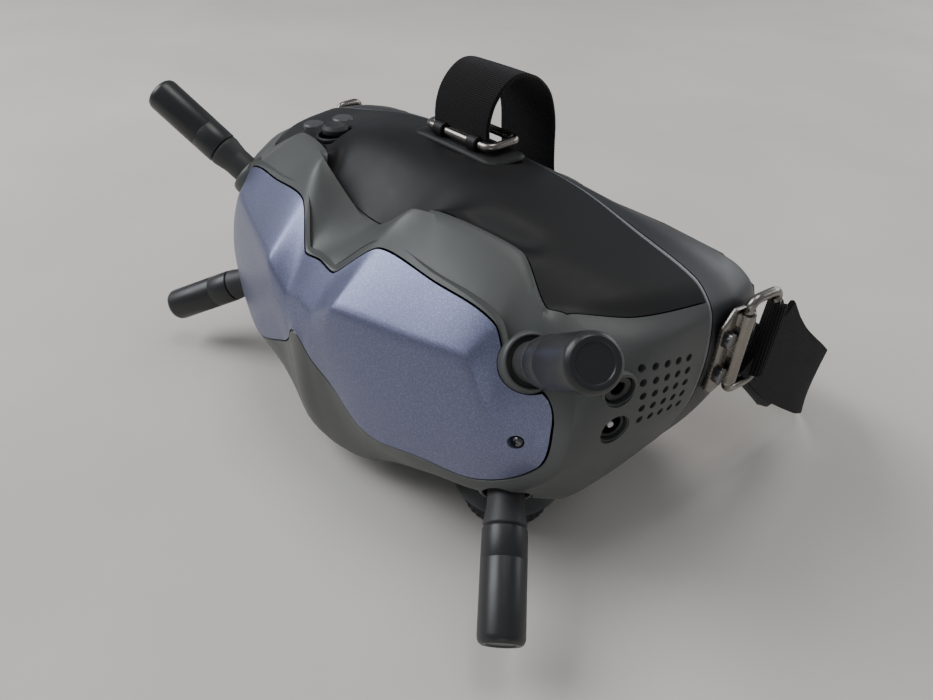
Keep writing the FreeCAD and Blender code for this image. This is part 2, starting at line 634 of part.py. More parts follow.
def make_hardware(parts):
    h = RING_HALF
    y0 = TOP_RING_Y
    y1 = TOP_RING_Y + RING_OUT
    z = TOP_RING_Z
    parts["top_ring"] = wire_ring((-h, y0, z), (h, y0, z), (h, y1, z + 0.6), (-h, y1, z + 0.6))
    mount = prism_x([(MOUNT_Y[0] - 2, 94.2), (MOUNT_Y[1], 94.0), (MOUNT_Y[1] - 2, 95.4),
                     (MOUNT_Y[0] + 1, 95.4)], -MOUNT_HALF_X, MOUNT_HALF_X)
    for x in (-7, 7):
        lug = box(x - 2.5, x + 2.5, y0 - 2.6, y0 + 2.6, 95.0, z + 2.4)
        lug = lug.cut(cylinder(RING_WIRE_R + 0.15, (x - 4, y0, z), (1, 0, 0), 8))
        mount = mount.fuse(lug)
    parts["top_mount"] = mount

    plate = prism_x([(BRACKET_Y[0] + 2, 53.5), (20, 51.5), (27, 52.5), (27, 76), (22, 77),
                     (BRACKET_Y[0] + 2, 73)], PAD_X, PAD_X + 1.2)
    lug = box(PAD_X, SIDE_RING_X, SIDE_RING_Y - 2.1, SIDE_RING_Y + 2.1, 54.5, 75.5)
    lug = lug.fuse(cylinder(2.1, (SIDE_RING_X, SIDE_RING_Y, 54.5), (0, 0, 1), 21))
    bracket = plate.fuse(lug)
    bracket = bracket.cut(cylinder(RING_WIRE_R + 0.15, (SIDE_RING_X, SIDE_RING_Y, 50), (0, 0, 1), 30))
    screws = []
    for zs in (58.0, 69.0):
        head = cylinder(2.2, (PAD_X + 1.2, BRACKET_SCREW_Y, zs), (1, 0, 0), 1.6)
        head = head.cut(box(PAD_X + 2.2, PAD_X + 4, BRACKET_SCREW_Y - 0.4, BRACKET_SCREW_Y + 0.4,
                            zs - 3, zs + 3))
        screws.append(head)
    ring = wire_ring((SIDE_RING_X, SIDE_RING_Y, SIDE_RING_Z - h),
                     (SIDE_RING_X, SIDE_RING_Y, SIDE_RING_Z + h),
                     (SIDE_RING_X + RING_OUT * SIDE_RING_TURN, SIDE_RING_Y + RING_OUT, SIDE_RING_Z + h),
                     (SIDE_RING_X + RING_OUT * SIDE_RING_TURN, SIDE_RING_Y + RING_OUT, SIDE_RING_Z - h))
    parts["side_bracket_right"] = bracket
    parts["side_bracket_left"] = mirrored(bracket)
    parts["bracket_screws"] = Part.makeCompound(screws + [mirrored(s) for s in screws])
    parts["side_ring_right"] = ring
    parts["side_ring_left"] = mirrored(ring)


# ---------------------------------------------------------------- soft parts
FOAM_INNER = [(0, 71), (12, 71), (26, 70.5), (39, 69.5), (52, 66.5), (63, 61), (68, 56.5), (70, 53),
              (69, 47), (63, 38), (52, 30), (41, 26), (29, 28.5), (16, 42), (0, 52)]
FOAM_OUTER = [(0, 79), (12, 79), (26, 78.5), (41, 77.5), (57, 74), (71, 68), (79, 61.5), (82, 55),
              (80, 46), (73, 34), (58, 20), (40, 11.5), (23.5, 15), (10.5, 33.5), (0, 43.5)]
FOAM_FAR = [(0, 74), (12, 74), (26, 73.5), (41, 73), (56, 70.5), (69, 65.5), (77, 60), (80, 54),
            (78, 46), (71, 35), (57, 21.5), (40, 13), (24, 17), (11, 35), (0, 45)]
FLANGE_GAP = 0.3
FLANGE = 1.5
FOAM_DEPTH = 9.0


def foam_loop(outline, distance):
    """An (x, z) outline standing at a distance behind the rear edge of the housing."""
    return full_ring([(x, RING_REAR[i][1] + distance, z) for i, (x, z) in enumerate(outline)])


def foam_flange():
    rim = [(x, z) for x, y, z in drawn_in(RING_REAR, 0.6, 0)]
    near = FLANGE_GAP
    far = FLANGE_GAP + FLANGE
    return ring_solid([foam_loop(rim, near), foam_loop(rim, far), foam_loop(FOAM_OUTER, far),
                       foam_loop(FOAM_INNER, far), foam_loop(FOAM_INNER, near)])


def face_foam():
    near = FLANGE_GAP + FLANGE
    far = near + FOAM_DEPTH
    return ring_solid([foam_loop(FOAM_OUTER, near), foam_loop(FOAM_INNER, near),
                       foam_loop(FOAM_INNER, far), foam_loop(FOAM_FAR, far)])


def ring_solid(loops):
    triangles = []
    for a, b in zip(loops, loops[1:] + loops[:1]):
        triangles += band(a, b)
    return closed_solid(triangles)


STRAP_THICK = 1.8
STRAP_HALF = 12.0
TOP_STRAP = [(10.5, 100.6), (10.6, 104), (12, 108), (15.5, 112), (20.5, 114.6), (26, 114.2),
             (31, 111.5), (35.5, 106.5), (38.2, 99), (38.9, 90), (40, 82), (43.5, 73), (53, 60),
             (66, 48), (80, 38), (92, 32), (98.4, 29), (100.7, 25.7)]
# Middle line of a side strap and how far each cross line leans forward at its foot, degrees
SIDE_STRAP = [(94.7, 39.8, 62, 6), (95.2, 43.5, 59, 20), (95.8, 51.5, 52.5, 33), (96.3, 64, 43, 36),
              (96.5, 79, 31, 33), (95.6, 89.5, 21, 20), (94, 97.8, 14.8, 6), (90, 101.6, 12.9, 0),
              (84, 102.8, 12.7, 0), (70, 102.4, 12.6, 0), (48, 101.6, 12.6, 0), (26, 101, 12.6, 0),
              (10.2, 100.8, 12.6, 0)]
# The free end of the side strap, folded back through the ring on the inner side
STRAP_TAIL = [(92.6, 39.8, 60.5, 6, 12), (92.4, 46, 54, 30, 12), (92, 56, 44.5, 40, 12),
              (91.4, 66.5, 34, 44, 11.4), (91, 73.5, 26.5, 46, 8.6), (90.8, 76.8, 23, 46, 4.4)]


def band_solid(sections):
    """A closed strap through four-cornered sections."""
    triangles = []
    for a, b in zip(sections, sections[1:]):
        triangles += band(a, b)
    first, last = sections[0], sections[-1]
    triangles += [(first[0], first[2], first[1]), (first[0], first[3], first[2])]
    triangles += [(last[0], last[1], last[2]), (last[0], last[2], last[3])]
    return closed_solid(triangles)


def top_strap():
    """Webbing that runs over the head, standing across X, along a line in the YZ plane."""
    sections = []
    n = len(TOP_STRAP)
    for i, (y, z) in enumerate(TOP_STRAP):
        y0, z0 = TOP_STRAP[max(i - 1, 0)]
        y1, z1 = TOP_STRAP[min(i + 1, n - 1)]
        size = math.hypot(y1 - y0, z1 - z0)
        ny = (z1 - z0) / size * STRAP_THICK / 2
        nz = -(y1 - y0) / size * STRAP_THICK / 2
        sections.append([(-STRAP_HALF, y + ny, z + nz), (STRAP_HALF, y + ny, z + nz),
                         (STRAP_HALF, y - ny, z - nz), (-STRAP_HALF, y - ny, z - nz)])
    return band_solid(sections)


def leaning_strap(line):
    """Webbing along (x, y, z, lean, half width) points; each cross line stands in its YZ plane."""
    sections = []
    n = len(line)
    for i, (x, y, z, lean, half) in enumerate(line):
        before = line[max(i - 1, 0)]
        after = line[min(i + 1, n - 1)]
        run = V(after[0] - before[0], after[1] - before[1], after[2] - before[2])
        turn = math.radians(lean)
        across = V(0, math.sin(turn), math.cos(turn))
        normal = run.cross(across)
        normal = normal * (STRAP_THICK / 2 / normal.Length)
        across = across * half
        middle = V(x, y, z)
        corners = [middle + normal - across, middle + normal + across,
                   middle - normal + across, middle - normal - across]
        sections.append([(c.x, c.y, c.z) for c in corners])
    return band_solid(sections)


def side_strap():
    """Webbing from a side ring round to the middle of the back, standing on its edge."""
    return leaning_strap([(x, y, z, lean, STRAP_HALF) for x, y, z, lean in SIDE_STRAP])


def make_soft(parts):
    parts["foam_flange"] = foam_flange()
    parts["face_foam"] = face_foam()
    parts["top_strap"] = top_strap()
    strap = Part.makeCompound([side_strap(), leaning_strap(STRAP_TAIL)])
    parts["side_strap_right"] = strap
    parts["side_strap_left"] = mirrored(strap)
    parts["strap_joiner"] = box(-9.6, 9.6, 97.3, 104.3, 0.3, 25.0)


# ---------------------------------------------------------------- whole assembly
HOUSING_Y = -22.16            # brings the origin under the middle of the whole assembly


def main():
    os.makedirs("parts", exist_ok=True)
    parts = {}
    make_housing(parts)
    make_eyepiece(parts, "right", 1)
    make_eyepiece(parts, "left", -1)
    make_electronics(parts)
    make_antennas(parts)
    make_controls(parts)
    make_hardware(parts)
    make_soft(parts)
    for name, shape in parts.items():
        shape.translate(V(0, HOUSING_Y, 0))
        shape.exportStep("parts/" + name + ".step")
        solids = len(shape.Solids)
        print(name, solids, "solids", shape.isValid(), round(shape.Volume / 1000, 2), "cm3")


main()
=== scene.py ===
import bpy
import bmesh
import math
from contextlib import contextmanager
import numpy as np
from mathutils import Matrix, Vector

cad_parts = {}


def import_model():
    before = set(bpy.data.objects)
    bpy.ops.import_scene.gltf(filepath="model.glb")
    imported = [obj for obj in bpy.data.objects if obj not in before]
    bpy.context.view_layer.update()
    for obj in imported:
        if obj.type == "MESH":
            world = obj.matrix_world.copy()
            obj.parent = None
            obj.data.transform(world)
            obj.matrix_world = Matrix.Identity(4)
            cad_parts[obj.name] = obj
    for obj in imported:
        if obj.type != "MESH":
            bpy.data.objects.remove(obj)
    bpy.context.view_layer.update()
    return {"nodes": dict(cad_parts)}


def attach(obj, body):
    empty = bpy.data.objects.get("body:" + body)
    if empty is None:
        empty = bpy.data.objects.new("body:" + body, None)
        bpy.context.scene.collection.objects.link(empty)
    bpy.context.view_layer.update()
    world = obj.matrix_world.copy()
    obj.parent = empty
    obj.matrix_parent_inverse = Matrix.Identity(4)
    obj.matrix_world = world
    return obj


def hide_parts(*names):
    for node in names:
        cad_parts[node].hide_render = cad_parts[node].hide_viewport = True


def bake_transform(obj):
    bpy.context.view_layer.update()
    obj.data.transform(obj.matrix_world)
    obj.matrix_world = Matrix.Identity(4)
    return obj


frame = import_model()
nodes = frame["nodes"]
HOUSING_Y = -22.16                      # the goggles' own drawing is in millimetres, shifted by this along Y
MM = 0.001


def world(p):
    return Vector((p[0] * MM, (p[1] + HOUSING_Y) * MM, p[2] * MM))


# ------------------------------------------------------------------ materials
def new_material(name):
    m = bpy.data.materials.new(name)
    m.use_nodes = True
    tree = m.node_tree
    shader = tree.nodes["Principled BSDF"]
    return m, tree, shader


def add(tree, kind, **values):
    n = tree.nodes.new(kind)
    for key, value in values.items():
        setattr(n, key, value)
    return n


def coordinates(tree, scale, source="Object"):
    c = add(tree, "ShaderNodeTexCoord")
    m = add(tree, "ShaderNodeMapping")
    m.inputs["Scale"].default_value = scale if hasattr(scale, "__len__") else (scale,) * 3
    tree.links.new(c.outputs[source], m.inputs["Vector"])
    return m.outputs["Vector"]


def ramp(tree, factor, stops):
    r = add(tree, "ShaderNodeValToRGB")
    e = r.color_ramp.elements
    e[0].position, e[0].color = stops[0][0], stops[0][1]
    e[1].position, e[1].color = stops[-1][0], stops[-1][1]
    for position, colour in stops[1:-1]:
        new = e.new(position)
        new.color = colour
    tree.links.new(factor, r.inputs["Fac"])
    return r.outputs["Color"]


def grey(v, a=1.0):
    return (v, v, v, a)


def scaled(colour, k):
    return (min(colour[0] * k, 1), min(colour[1] * k, 1), min(colour[2] * k, 1), 1)


def noise_of(tree, vector, scale, detail=3.0, rough=0.5):
    n = add(tree, "ShaderNodeTexNoise")
    n.inputs["Scale"].default_value = scale
    n.inputs["Detail"].default_value = detail
    n.inputs["Roughness"].default_value = rough
    tree.links.new(vector, n.inputs["Vector"])
    return n.outputs["Fac"]


def bump_of(tree, height, strength, distance, normal=None):
    b = add(tree, "ShaderNodeBump")
    b.inputs["Strength"].default_value = strength
    b.inputs["Distance"].default_value = distance
    tree.links.new(height, b.inputs["Height"])
    if normal is not None:
        tree.links.new(normal, b.inputs["Normal"])
    return b.outputs["Normal"]


def plastic(name, colour, rough, grain=0.15, grain_scale=2600.0, vary=0.06, spec=0.5, dust=0.0):
    """Moulded plastic: fine spark-eroded grain, slow changes of colour, handled areas a little shinier."""
    m, t, s = new_material(name)
    v = coordinates(t, 1.0)
    slow = noise_of(t, v, 28.0, 4.0)
    tone = ramp(t, slow, [(0.3, scaled(colour, 1 - vary)), (0.7, scaled(colour, 1 + vary))])
    if dust > 0:
        specks = noise_of(t, v, 900.0, 6.0, 0.7)
        mask = ramp(t, specks, [(0.66, grey(0)), (0.8, grey(1))])
        mix = add(t, "ShaderNodeMix", data_type="RGBA")
        scale = add(t, "ShaderNodeMath", operation="MULTIPLY")
        scale.inputs[1].default_value = dust
        t.links.new(mask, scale.inputs[0])
        t.links.new(scale.outputs[0], mix.inputs[0])
        t.links.new(tone, mix.inputs[6])
        mix.inputs[7].default_value = (0.35, 0.34, 0.32, 1)
        tone = mix.outputs[2]
    t.links.new(tone, s.inputs["Base Color"])
    worn = noise_of(t, v, 60.0, 5.0, 0.6)
    r = ramp(t, worn, [(0.3, grey(max(rough - 0.05, 0.02))), (0.7, grey(min(rough + 0.06, 1)))])
    t.links.new(r, s.inputs["Roughness"])
    fine = noise_of(t, v, grain_scale, 2.0, 0.5)
    t.links.new(bump_of(t, fine, grain, 0.00006), s.inputs["Normal"])
    s.inputs["Specular IOR Level"].default_value = spec
    return m


def flake_paint(name, colour, light):
    """Satin metallic paint: very fine pale flakes in a blue-grey base under a soft clear layer."""
    m, t, s = new_material(name)
    v = coordinates(t, 1.0)
    cells = add(t, "ShaderNodeTexVoronoi")
    cells.inputs["Scale"].default_value = 5200.0
    t.links.new(v, cells.inputs["Vector"])
    split = add(t, "ShaderNodeSeparateColor")
    t.links.new(cells.outputs["Color"], split.inputs[0])
    slow = noise_of(t, v, 18.0, 3.0)
    base = ramp(t, slow, [(0.3, scaled(colour, 0.96)), (0.7, scaled(colour, 1.04))])
    pick = ramp(t, split.outputs[0], [(0.5, grey(0.0)), (0.97, grey(0.3))])
    mix = add(t, "ShaderNodeMix", data_type="RGBA")
    t.links.new(pick, mix.inputs[0])
    t.links.new(base, mix.inputs[6])
    mix.inputs[7].default_value = (*light, 1)
    t.links.new(mix.outputs[2], s.inputs["Base Color"])
    s.inputs["Metallic"].default_value = 0.85
    rough = ramp(t, split.outputs[1], [(0.2, grey(0.37)), (0.8, grey(0.45))])
    t.links.new(rough, s.inputs["Roughness"])
    t.links.new(bump_of(t, split.outputs[2], 0.07, 0.00004), s.inputs["Normal"])
    s.inputs["Coat Weight"].default_value = 0.15
    s.inputs["Coat Roughness"].default_value = 0.35
    return m


def metal(name, colour, rough, brushed=0.0):
    m, t, s = new_material(name)
    v = coordinates(t, (1.0, 1.0, 1.0))
    slow = noise_of(t, v, 70.0, 5.0)
    tone = ramp(t, slow, [(0.3, scaled(colour, 0.85)), (0.7, scaled(colour, 1.1))])
    t.links.new(tone, s.inputs["Base Color"])
    s.inputs["Metallic"].default_value = 1.0
    scratch = noise_of(t, coordinates(t, (1.0, 1.0, 12.0)), 420.0, 4.0, 0.6)
    worn = ramp(t, scratch, [(0.3, grey(rough * 0.8)), (0.7, grey(min(rough * 1.25, 1)))])
    t.links.new(worn, s.inputs["Roughness"])
    t.links.new(bump_of(t, scratch, 0.08 + brushed, 0.00004), s.inputs["Normal"])
    return m


def elastic(name, colour, rib_length):
    """Woven elastic: cross ribs along the strap, a fine knit between them, slightly fuzzy edges."""
    m, t, s = new_material(name)
    uv = coordinates(t, 1.0, "UV")
    ribs = add(t, "ShaderNodeTexWave", bands_direction="X", wave_profile="SIN")
    ribs.inputs["Scale"].default_value = 0.314 / rib_length
    ribs.inputs["Distortion"].default_value = 0.6
    ribs.inputs["Detail"].default_value = 1.0
    ribs.inputs["Detail Scale"].default_value = 3.0
    t.links.new(uv, ribs.inputs["Vector"])
    knit = add(t, "ShaderNodeTexWave", bands_direction="Y", wave_profile="SIN")
    knit.inputs["Scale"].default_value = 0.314 / (rib_length * 1.3)
    knit.inputs["Distortion"].default_value = 1.2
    t.links.new(uv, knit.inputs["Vector"])
    both = add(t, "ShaderNodeMath", operation="MULTIPLY_ADD")
    both.inputs[1].default_value = 0.3
    t.links.new(knit.outputs["Fac"], both.inputs[0])
    t.links.new(ribs.outputs["Fac"], both.inputs[2])
    fuzz = noise_of(t, coordinates(t, 1.0), 1500.0, 4.0, 0.7)
    # The ribs' colour is painted shade and light: darker in the grooves between the ribs, lighter on their
    # crests.
    tone = ramp(t, ribs.outputs["Fac"], [(0.1, scaled(colour, 0.45)), (0.75, scaled(colour, 1.25))])
    lint = ramp(t, fuzz, [(0.64, grey(0)), (0.82, grey(0.14))])
    mix = add(t, "ShaderNodeMix", data_type="RGBA")
    t.links.new(lint, mix.inputs[0])
    t.links.new(tone, mix.inputs[6])
    mix.inputs[7].default_value = scaled(colour, 3.2)
    t.links.new(mix.outputs[2], s.inputs["Base Color"])
    s.inputs["Roughness"].default_value = 0.92
    s.inputs["Sheen Weight"].default_value = 0.08
    s.inputs["Sheen Roughness"].default_value = 0.45
    s.inputs["Specular IOR Level"].default_value = 0.2
    n = bump_of(t, both.outputs[0], 0.75, 0.0003)
    t.links.new(bump_of(t, fuzz, 0.35, 0.0002, n), s.inputs["Normal"])
    return m


def fuzzy(name, colour, scale=1800.0, sheen=0.5):
    """Brushed loop cloth over foam."""
    m, t, s = new_material(name)
    v = coordinates(t, 1.0)
    loops = add(t, "ShaderNodeTexVoronoi")
    loops.inputs["Scale"].default_value = scale
    t.links.new(v, loops.inputs["Vector"])
    cloud = noise_of(t, v, 55.0, 4.0)
    tone = ramp(t, cloud, [(0.3, scaled(colour, 0.8)), (0.7, scaled(colour, 1.3))])
    t.links.new(tone, s.inputs["Base Color"])
    s.inputs["Roughness"].default_value = 0.96
    s.inputs["Sheen Weight"].default_value = sheen
    s.inputs["Sheen Roughness"].default_value = 0.5
    s.inputs["Specular IOR Level"].default_value = 0.15
    fine = noise_of(t, v, scale * 0.8, 4.0, 0.7)
    n = bump_of(t, loops.outputs["Distance"], 0.6, 0.0003)
    t.links.new(bump_of(t, fine, 0.4, 0.0002, n), s.inputs["Normal"])
    return m


def board_material(name):
    m, t, s = new_material(name)
    v = coordinates(t, (1.0, 0.2, 1.0))
    tracks = add(t, "ShaderNodeTexBrick")
    tracks.inputs["Scale"].default_value = 160.0
    tracks.inputs["Color1"].default_value = (0.02, 0.13, 0.06, 1)
    tracks.inputs["Color2"].default_value = (0.03, 0.17, 0.08, 1)
    tracks.inputs["Mortar"].default_value = (0.08, 0.25, 0.12, 1)
    turn = add(t, "ShaderNodeVectorRotate", rotation_type="X_AXIS")
    turn.inputs["Angle"].default_value = math.pi / 2
    t.links.new(v, turn.inputs["Vector"])
    t.links.new(turn.outputs[0], tracks.inputs["Vector"])
    t.links.new(tracks.outputs["Color"], s.inputs["Base Color"])
    rough = ramp(t, tracks.outputs["Fac"], [(0.2, grey(0.4)), (0.8, grey(0.3))])
    t.links.new(rough, s.inputs["Roughness"])
    t.links.new(bump_of(t, tracks.outputs["Fac"], 0.3, 0.0001), s.inputs["Normal"])
    return m


def lens_material(name):
    m, t, s = new_material(name)
    v = coordinates(t, 1.0)
    smear = noise_of(t, v, 120.0, 3.0)
    t.links.new(ramp(t, smear, [(0.35, grey(0.02)), (0.75, grey(0.06))]), s.inputs["Roughness"])
    s.inputs["Base Color"].default_value = (0.92, 0.95, 1.0, 1)
    s.inputs["Transmission Weight"].default_value = 1.0
    s.inputs["IOR"].default_value = 1.49
    s.inputs["Coat Weight"].default_value = 0.4
    return m


def screen_material(name, colour):
    m, t, s = new_material(name)
    v = coordinates(t, 1.0)
    rows = add(t, "ShaderNodeTexChecker")
    rows.inputs["Scale"].default_value = 9000.0
    t.links.new(v, rows.inputs["Vector"])
    tone = ramp(t, rows.outputs["Fac"], [(0.2, scaled(colour, 0.9)), (0.8, scaled(colour, 1.1))])
    t.links.new(tone, s.inputs["Base Color"])
    smear = noise_of(t, v, 90.0, 3.0)
    t.links.new(ramp(t, smear, [(0.3, grey(0.08)), (0.7, grey(0.16))]), s.inputs["Roughness"])
    return m


# name: (maker, then the values the maker takes after the name)
FINISHES = {
    "frame_grey": (plastic, (0.068, 0.073, 0.069), 0.44, 0.14, 2400.0, 0.05, 0.5),
    "plate_blue": (flake_paint, (0.155, 0.165, 0.26), (0.40, 0.43, 0.58)),
    "cover_black": (plastic, (0.0075, 0.0075, 0.0078), 0.5, 0.16, 2600.0, 0.08, 0.3, 0.06),
    "rear_black": (plastic, (0.014, 0.0155, 0.0175), 0.42, 0.16, 2600.0, 0.08, 0.45, 0.06),
    "trim_grey": (plastic, (0.15, 0.155, 0.16), 0.34, 0.1),
    "inner_black": (plastic, (0.016, 0.016, 0.016), 0.6, 0.25, 2000.0),
    "knob_black": (plastic, (0.03, 0.03, 0.032), 0.5, 0.25, 2000.0),
    "screen_black": (screen_material, (0.012, 0.013, 0.02)),
    "window_dark": (screen_material, (0.02, 0.008, 0.008)),
    "lens_glass": (lens_material,),
    "rod_steel": (metal, (0.55, 0.55, 0.56), 0.22),
    "board_green": (board_material,),
    "sink_aluminium": (metal, (0.7, 0.71, 0.72), 0.4, 0.1),
    "socket_black": (plastic, (0.012, 0.012, 0.012), 0.35, 0.1),
    "antenna_neck_black": (plastic, (0.034, 0.034, 0.034), 0.52, 0.3, 1800.0, 0.06, 0.5, 0.15),
    "antenna_black": (plastic, (0.019, 0.0195, 0.02), 0.36, 0.22, 2200.0, 0.06, 0.5, 0.15),
    "socket_brass": (metal, (0.78, 0.6, 0.28), 0.25),
    "button_grey": (plastic, (0.055, 0.055, 0.058), 0.42, 0.2),
    "joystick_black": (plastic, (0.02, 0.02, 0.02), 0.6, 0.4, 1500.0),
    "hardware_steel": (metal, (0.27, 0.25, 0.225), 0.27),
    "screw_steel": (metal, (0.16, 0.16, 0.165), 0.3),
    "foam_fabric": (fuzzy, (0.014, 0.014, 0.015)),
    "strap_elastic": (elastic, (0.0095, 0.0084, 0.0087), 0.0006),
    "strap_loop": (fuzzy, (0.006, 0.006, 0.0062), 1400.0, 0.25),
    "joiner_black": (plastic, (0.02, 0.02, 0.02), 0.4, 0.2),
}
MAT = {name: make(name, *values) for name, (make, *values) in FINISHES.items()}


# ------------------------------------------------------------------ mesh helpers
def linked(name, data):
    ob = bpy.data.objects.new(name, data)
    bpy.context.scene.collection.objects.link(ob)
    return ob


@contextmanager
def edited(ob):
    """The object's mesh, open for editing and written back at the end."""
    bm = bmesh.new()
    bm.from_mesh(ob.data)
    yield bm
    bm.to_mesh(ob.data)
    bm.free()


def new_object(name, verts, faces, material, smooth=True, uvs=None):
    mesh = bpy.data.meshes.new(name)
    mesh.from_pydata([tuple(v) for v in verts], [], faces)
    mesh.materials.append(MAT[material])
    if uvs is not None:
        layer = mesh.uv_layers.new(name="UVMap")
        for loop in mesh.loops:
            layer.data[loop.index].uv = uvs[loop.vertex_index]
    mesh.validate()
    mesh.update()
    ob = linked(name, mesh)
    if smooth:
        mesh.polygons.foreach_set("use_smooth", [True] * len(mesh.polygons))
    return ob


def mend_normals(ob):
    with edited(ob) as bm:
        bmesh.ops.remove_doubles(bm, verts=bm.verts, dist=1e-6)
        bmesh.ops.recalc_face_normals(bm, faces=bm.faces)
    ob.data.update()


def bake(ob):
    """The object's mesh with its modifiers worked in."""
    graph = bpy.context.evaluated_depsgraph_get()
    graph.update()
    mesh = bpy.data.meshes.new_from_object(ob.evaluated_get(graph))
    old = ob.data
    ob.modifiers.clear()
    ob.data = mesh
    bpy.data.meshes.remove(old)


def bevel(ob, width, segments=2, angle=35.0):
    b = ob.modifiers.new("edges", "BEVEL")
    b.width = width * MM
    b.segments = segments
    b.limit_method = "ANGLE"
    b.angle_limit = math.radians(angle)
    b.harden_normals = False


def sharpen(ob, angle=32.0):
    ob.data.set_sharp_from_angle(angle=math.radians(angle))


def dress(ob, material, angle):
    """Gives a mesh one material and smooth shading, with edges over an angle left sharp."""
    ob.data.materials.clear()
    ob.data.materials.append(MAT[material])
    ob.data.polygons.foreach_set("use_smooth", [True] * len(ob.data.polygons))
    sharpen(ob, angle)


def walled(ob, thickness):
    """Thickens a sheet inwards."""
    s = ob.modifiers.new("wall", "SOLIDIFY")
    s.thickness = thickness * MM
    s.offset = -1.0
    s.use_even_offset = False


def cut(ob, cutter):
    b = ob.modifiers.new("cut", "BOOLEAN")
    b.operation = "DIFFERENCE"
    b.solver = "MANIFOLD"
    b.object = cutter
    bake(ob)
    bpy.data.objects.remove(cutter)


def settle(ob, body, slot, *replaced):
    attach(ob, body)
    if replaced:
        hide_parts(*replaced)
    return ob


def spline(points, per, closed=False, ease=None):
    """A smooth line through all points, with `per` steps between neighbours; ease < 1 tightens a point."""
    p = np.array(points, float)
    n = len(p)
    ease = ease or {}
    tangents = []
    for i in range(n):
        before = p[(i - 1) % n] if closed or i > 0 else p[i]
        after = p[(i + 1) % n] if closed or i < n - 1 else p[i]
        d = after - before
        size = np.linalg.norm(d)
        tangents.append(d / size * ease.get(i, 1.0) if size > 1e-9 else d)
    out = []
    segments = n if closed else n - 1
    steps = per if hasattr(per, "__len__") else [per] * segments
    for i in range(segments):
        a, b = p[i], p[(i + 1) % n]
        length = np.linalg.norm(b - a)
        ma, mb = tangents[i] * length, tangents[(i + 1) % n] * length
        for k in range(steps[i]):
            t = k / steps[i]
            h00 = 2 * t ** 3 - 3 * t ** 2 + 1
            h10 = t ** 3 - 2 * t ** 2 + t
            h01 = -2 * t ** 3 + 3 * t ** 2
            h11 = t ** 3 - t ** 2
            out.append(h00 * a + h10 * ma + h01 * b + h11 * mb)
    if not closed:
        out.append(p[-1])
    return np.array(out)


def full_ring(half):
    return list(half) + [(-x, y, z) for x, y, z in half[1:-1]][::-1]


def lathe(name, profile, start, aim, material, steps=96):
    """A (radius, distance) profile turned about an axis."""
    axis = Vector(aim).normalized()
    turn = axis.to_track_quat("Z", "Y")
    base = world(start)
    verts, faces = [], []
    for r, s in profile:
        for k in range(steps):
            a = math.tau * k / steps
            verts.append(base + turn @ Vector((r * MM * math.cos(a), r * MM * math.sin(a), s * MM)))
    for i in range(len(profile) - 1):
        for k in range(steps):
            j = (k + 1) % steps
            faces.append((i * steps + k, i * steps + j, (i + 1) * steps + j, (i + 1) * steps + k))
    ob = new_object(name, verts, faces, material)
    mend_normals(ob)
    sharpen(ob, 28)
    return ob


def rounded(profile, radius, steps=4):
    """A profile with each inner corner rounded."""
    out = [profile[0]]
    for a, b, c in zip(profile, profile[1:], profile[2:]):
        a, b, c = Vector(a), Vector(b), Vector(c)
        la, lc = (a - b).length, (c - b).length
        cut_a = min(radius, la * 0.45)
        cut_c = min(radius, lc * 0.45)
        if cut_a < 1e-6 or cut_c < 1e-6:
            out.append(tuple(b))
            continue
        p = b + (a - b).normalized() * cut_a
        q = b + (c - b).normalized() * cut_c
        for k in range(steps + 1):
            t = k / steps
            out.append(tuple(p * (1 - t) ** 2 + b * 2 * t * (1 - t) + q * t ** 2))
    out.append(profile[-1])
    return out


def tube(name, path, radius, material, closed=True, steps=20):
    """Round wire along a closed or open path of points in metres."""
    n = len(path)
    verts, faces = [], []
    up = Vector((0, 0, 1))
    for i, p in enumerate(path):
        a = path[(i - 1) % n] if closed or i > 0 else path[i]
        b = path[(i + 1) % n] if closed or i < n - 1 else path[i]
        t = (b - a).normalized()
        side = t.cross(up)
        if side.length < 0.2:
            side = t.cross(Vector((1, 0, 0)))
        side.normalize()
        other = t.cross(side).normalized()
        for k in range(steps):
            w = math.tau * k / steps
            verts.append(p + (side * math.cos(w) + other * math.sin(w)) * radius * MM)
    for i in range(n if closed else n - 1):
        for k in range(steps):
            j = (k + 1) % steps
            m = (i + 1) % n
            faces.append((i * steps + k, i * steps + j, m * steps + j, m * steps + k))
    if not closed:
        faces.append(tuple(range(steps))[::-1])
        faces.append(tuple(range((n - 1) * steps, n * steps)))
    ob = new_object(name, verts, faces, material)
    mend_normals(ob)
    return ob


def corner_path(corners, radius, steps=8):
    """A closed path with round corners."""
    out = []
    n = len(corners)
    for i in range(n):
        a, b, c = Vector(corners[i - 1]), Vector(corners[i]), Vector(corners[(i + 1) % n])
        p = b + (a - b).normalized() * radius
        q = b + (c - b).normalized() * radius
        for k in range(steps + 1):
            t = k / steps
            out.append(p * (1 - t) ** 2 + b * 2 * t * (1 - t) + q * t ** 2)
    return out


# ------------------------------------------------------------------ housing surface
UPPER = [(0, -41.5, 72.4), (7.5, -41.6, 71.7), (19.3, -34.3, 81.8), (40, -32, 80.5),
         (59.5, -30, 78), (65.8, -31.2, 71), (77, -28, 64.6)]
CREST = [(0, -49, 62), (7, -49.5, 61), (17, -49.3, 67.5), (39, -43.2, 68.8),
         (58.3, -37.8, 69.9), (67.2, -37, 58), (79.3, -28, 57)]
LOWER = [(0, -52.2, 52.8), (6.5, -51.2, 46), (13.4, -49.8, 40.8), (31, -49.7, 33.8),
         (50, -45, 35.8), (66.6, -38.9, 37), (79, -31.2, 46.2)]
OUTLINE = UPPER + [CREST[-1]] + LOWER[::-1]
PER = 8


def with_seam(half, extra):
    """The ring's right half with one more point, for the cover's side seam, after its sixth."""
    return half[:6] + [extra] + half[6:]


def midway(half):
    a, b = half[5], half[6]
    return tuple((p + q) / 2 for p, q in zip(a, b))


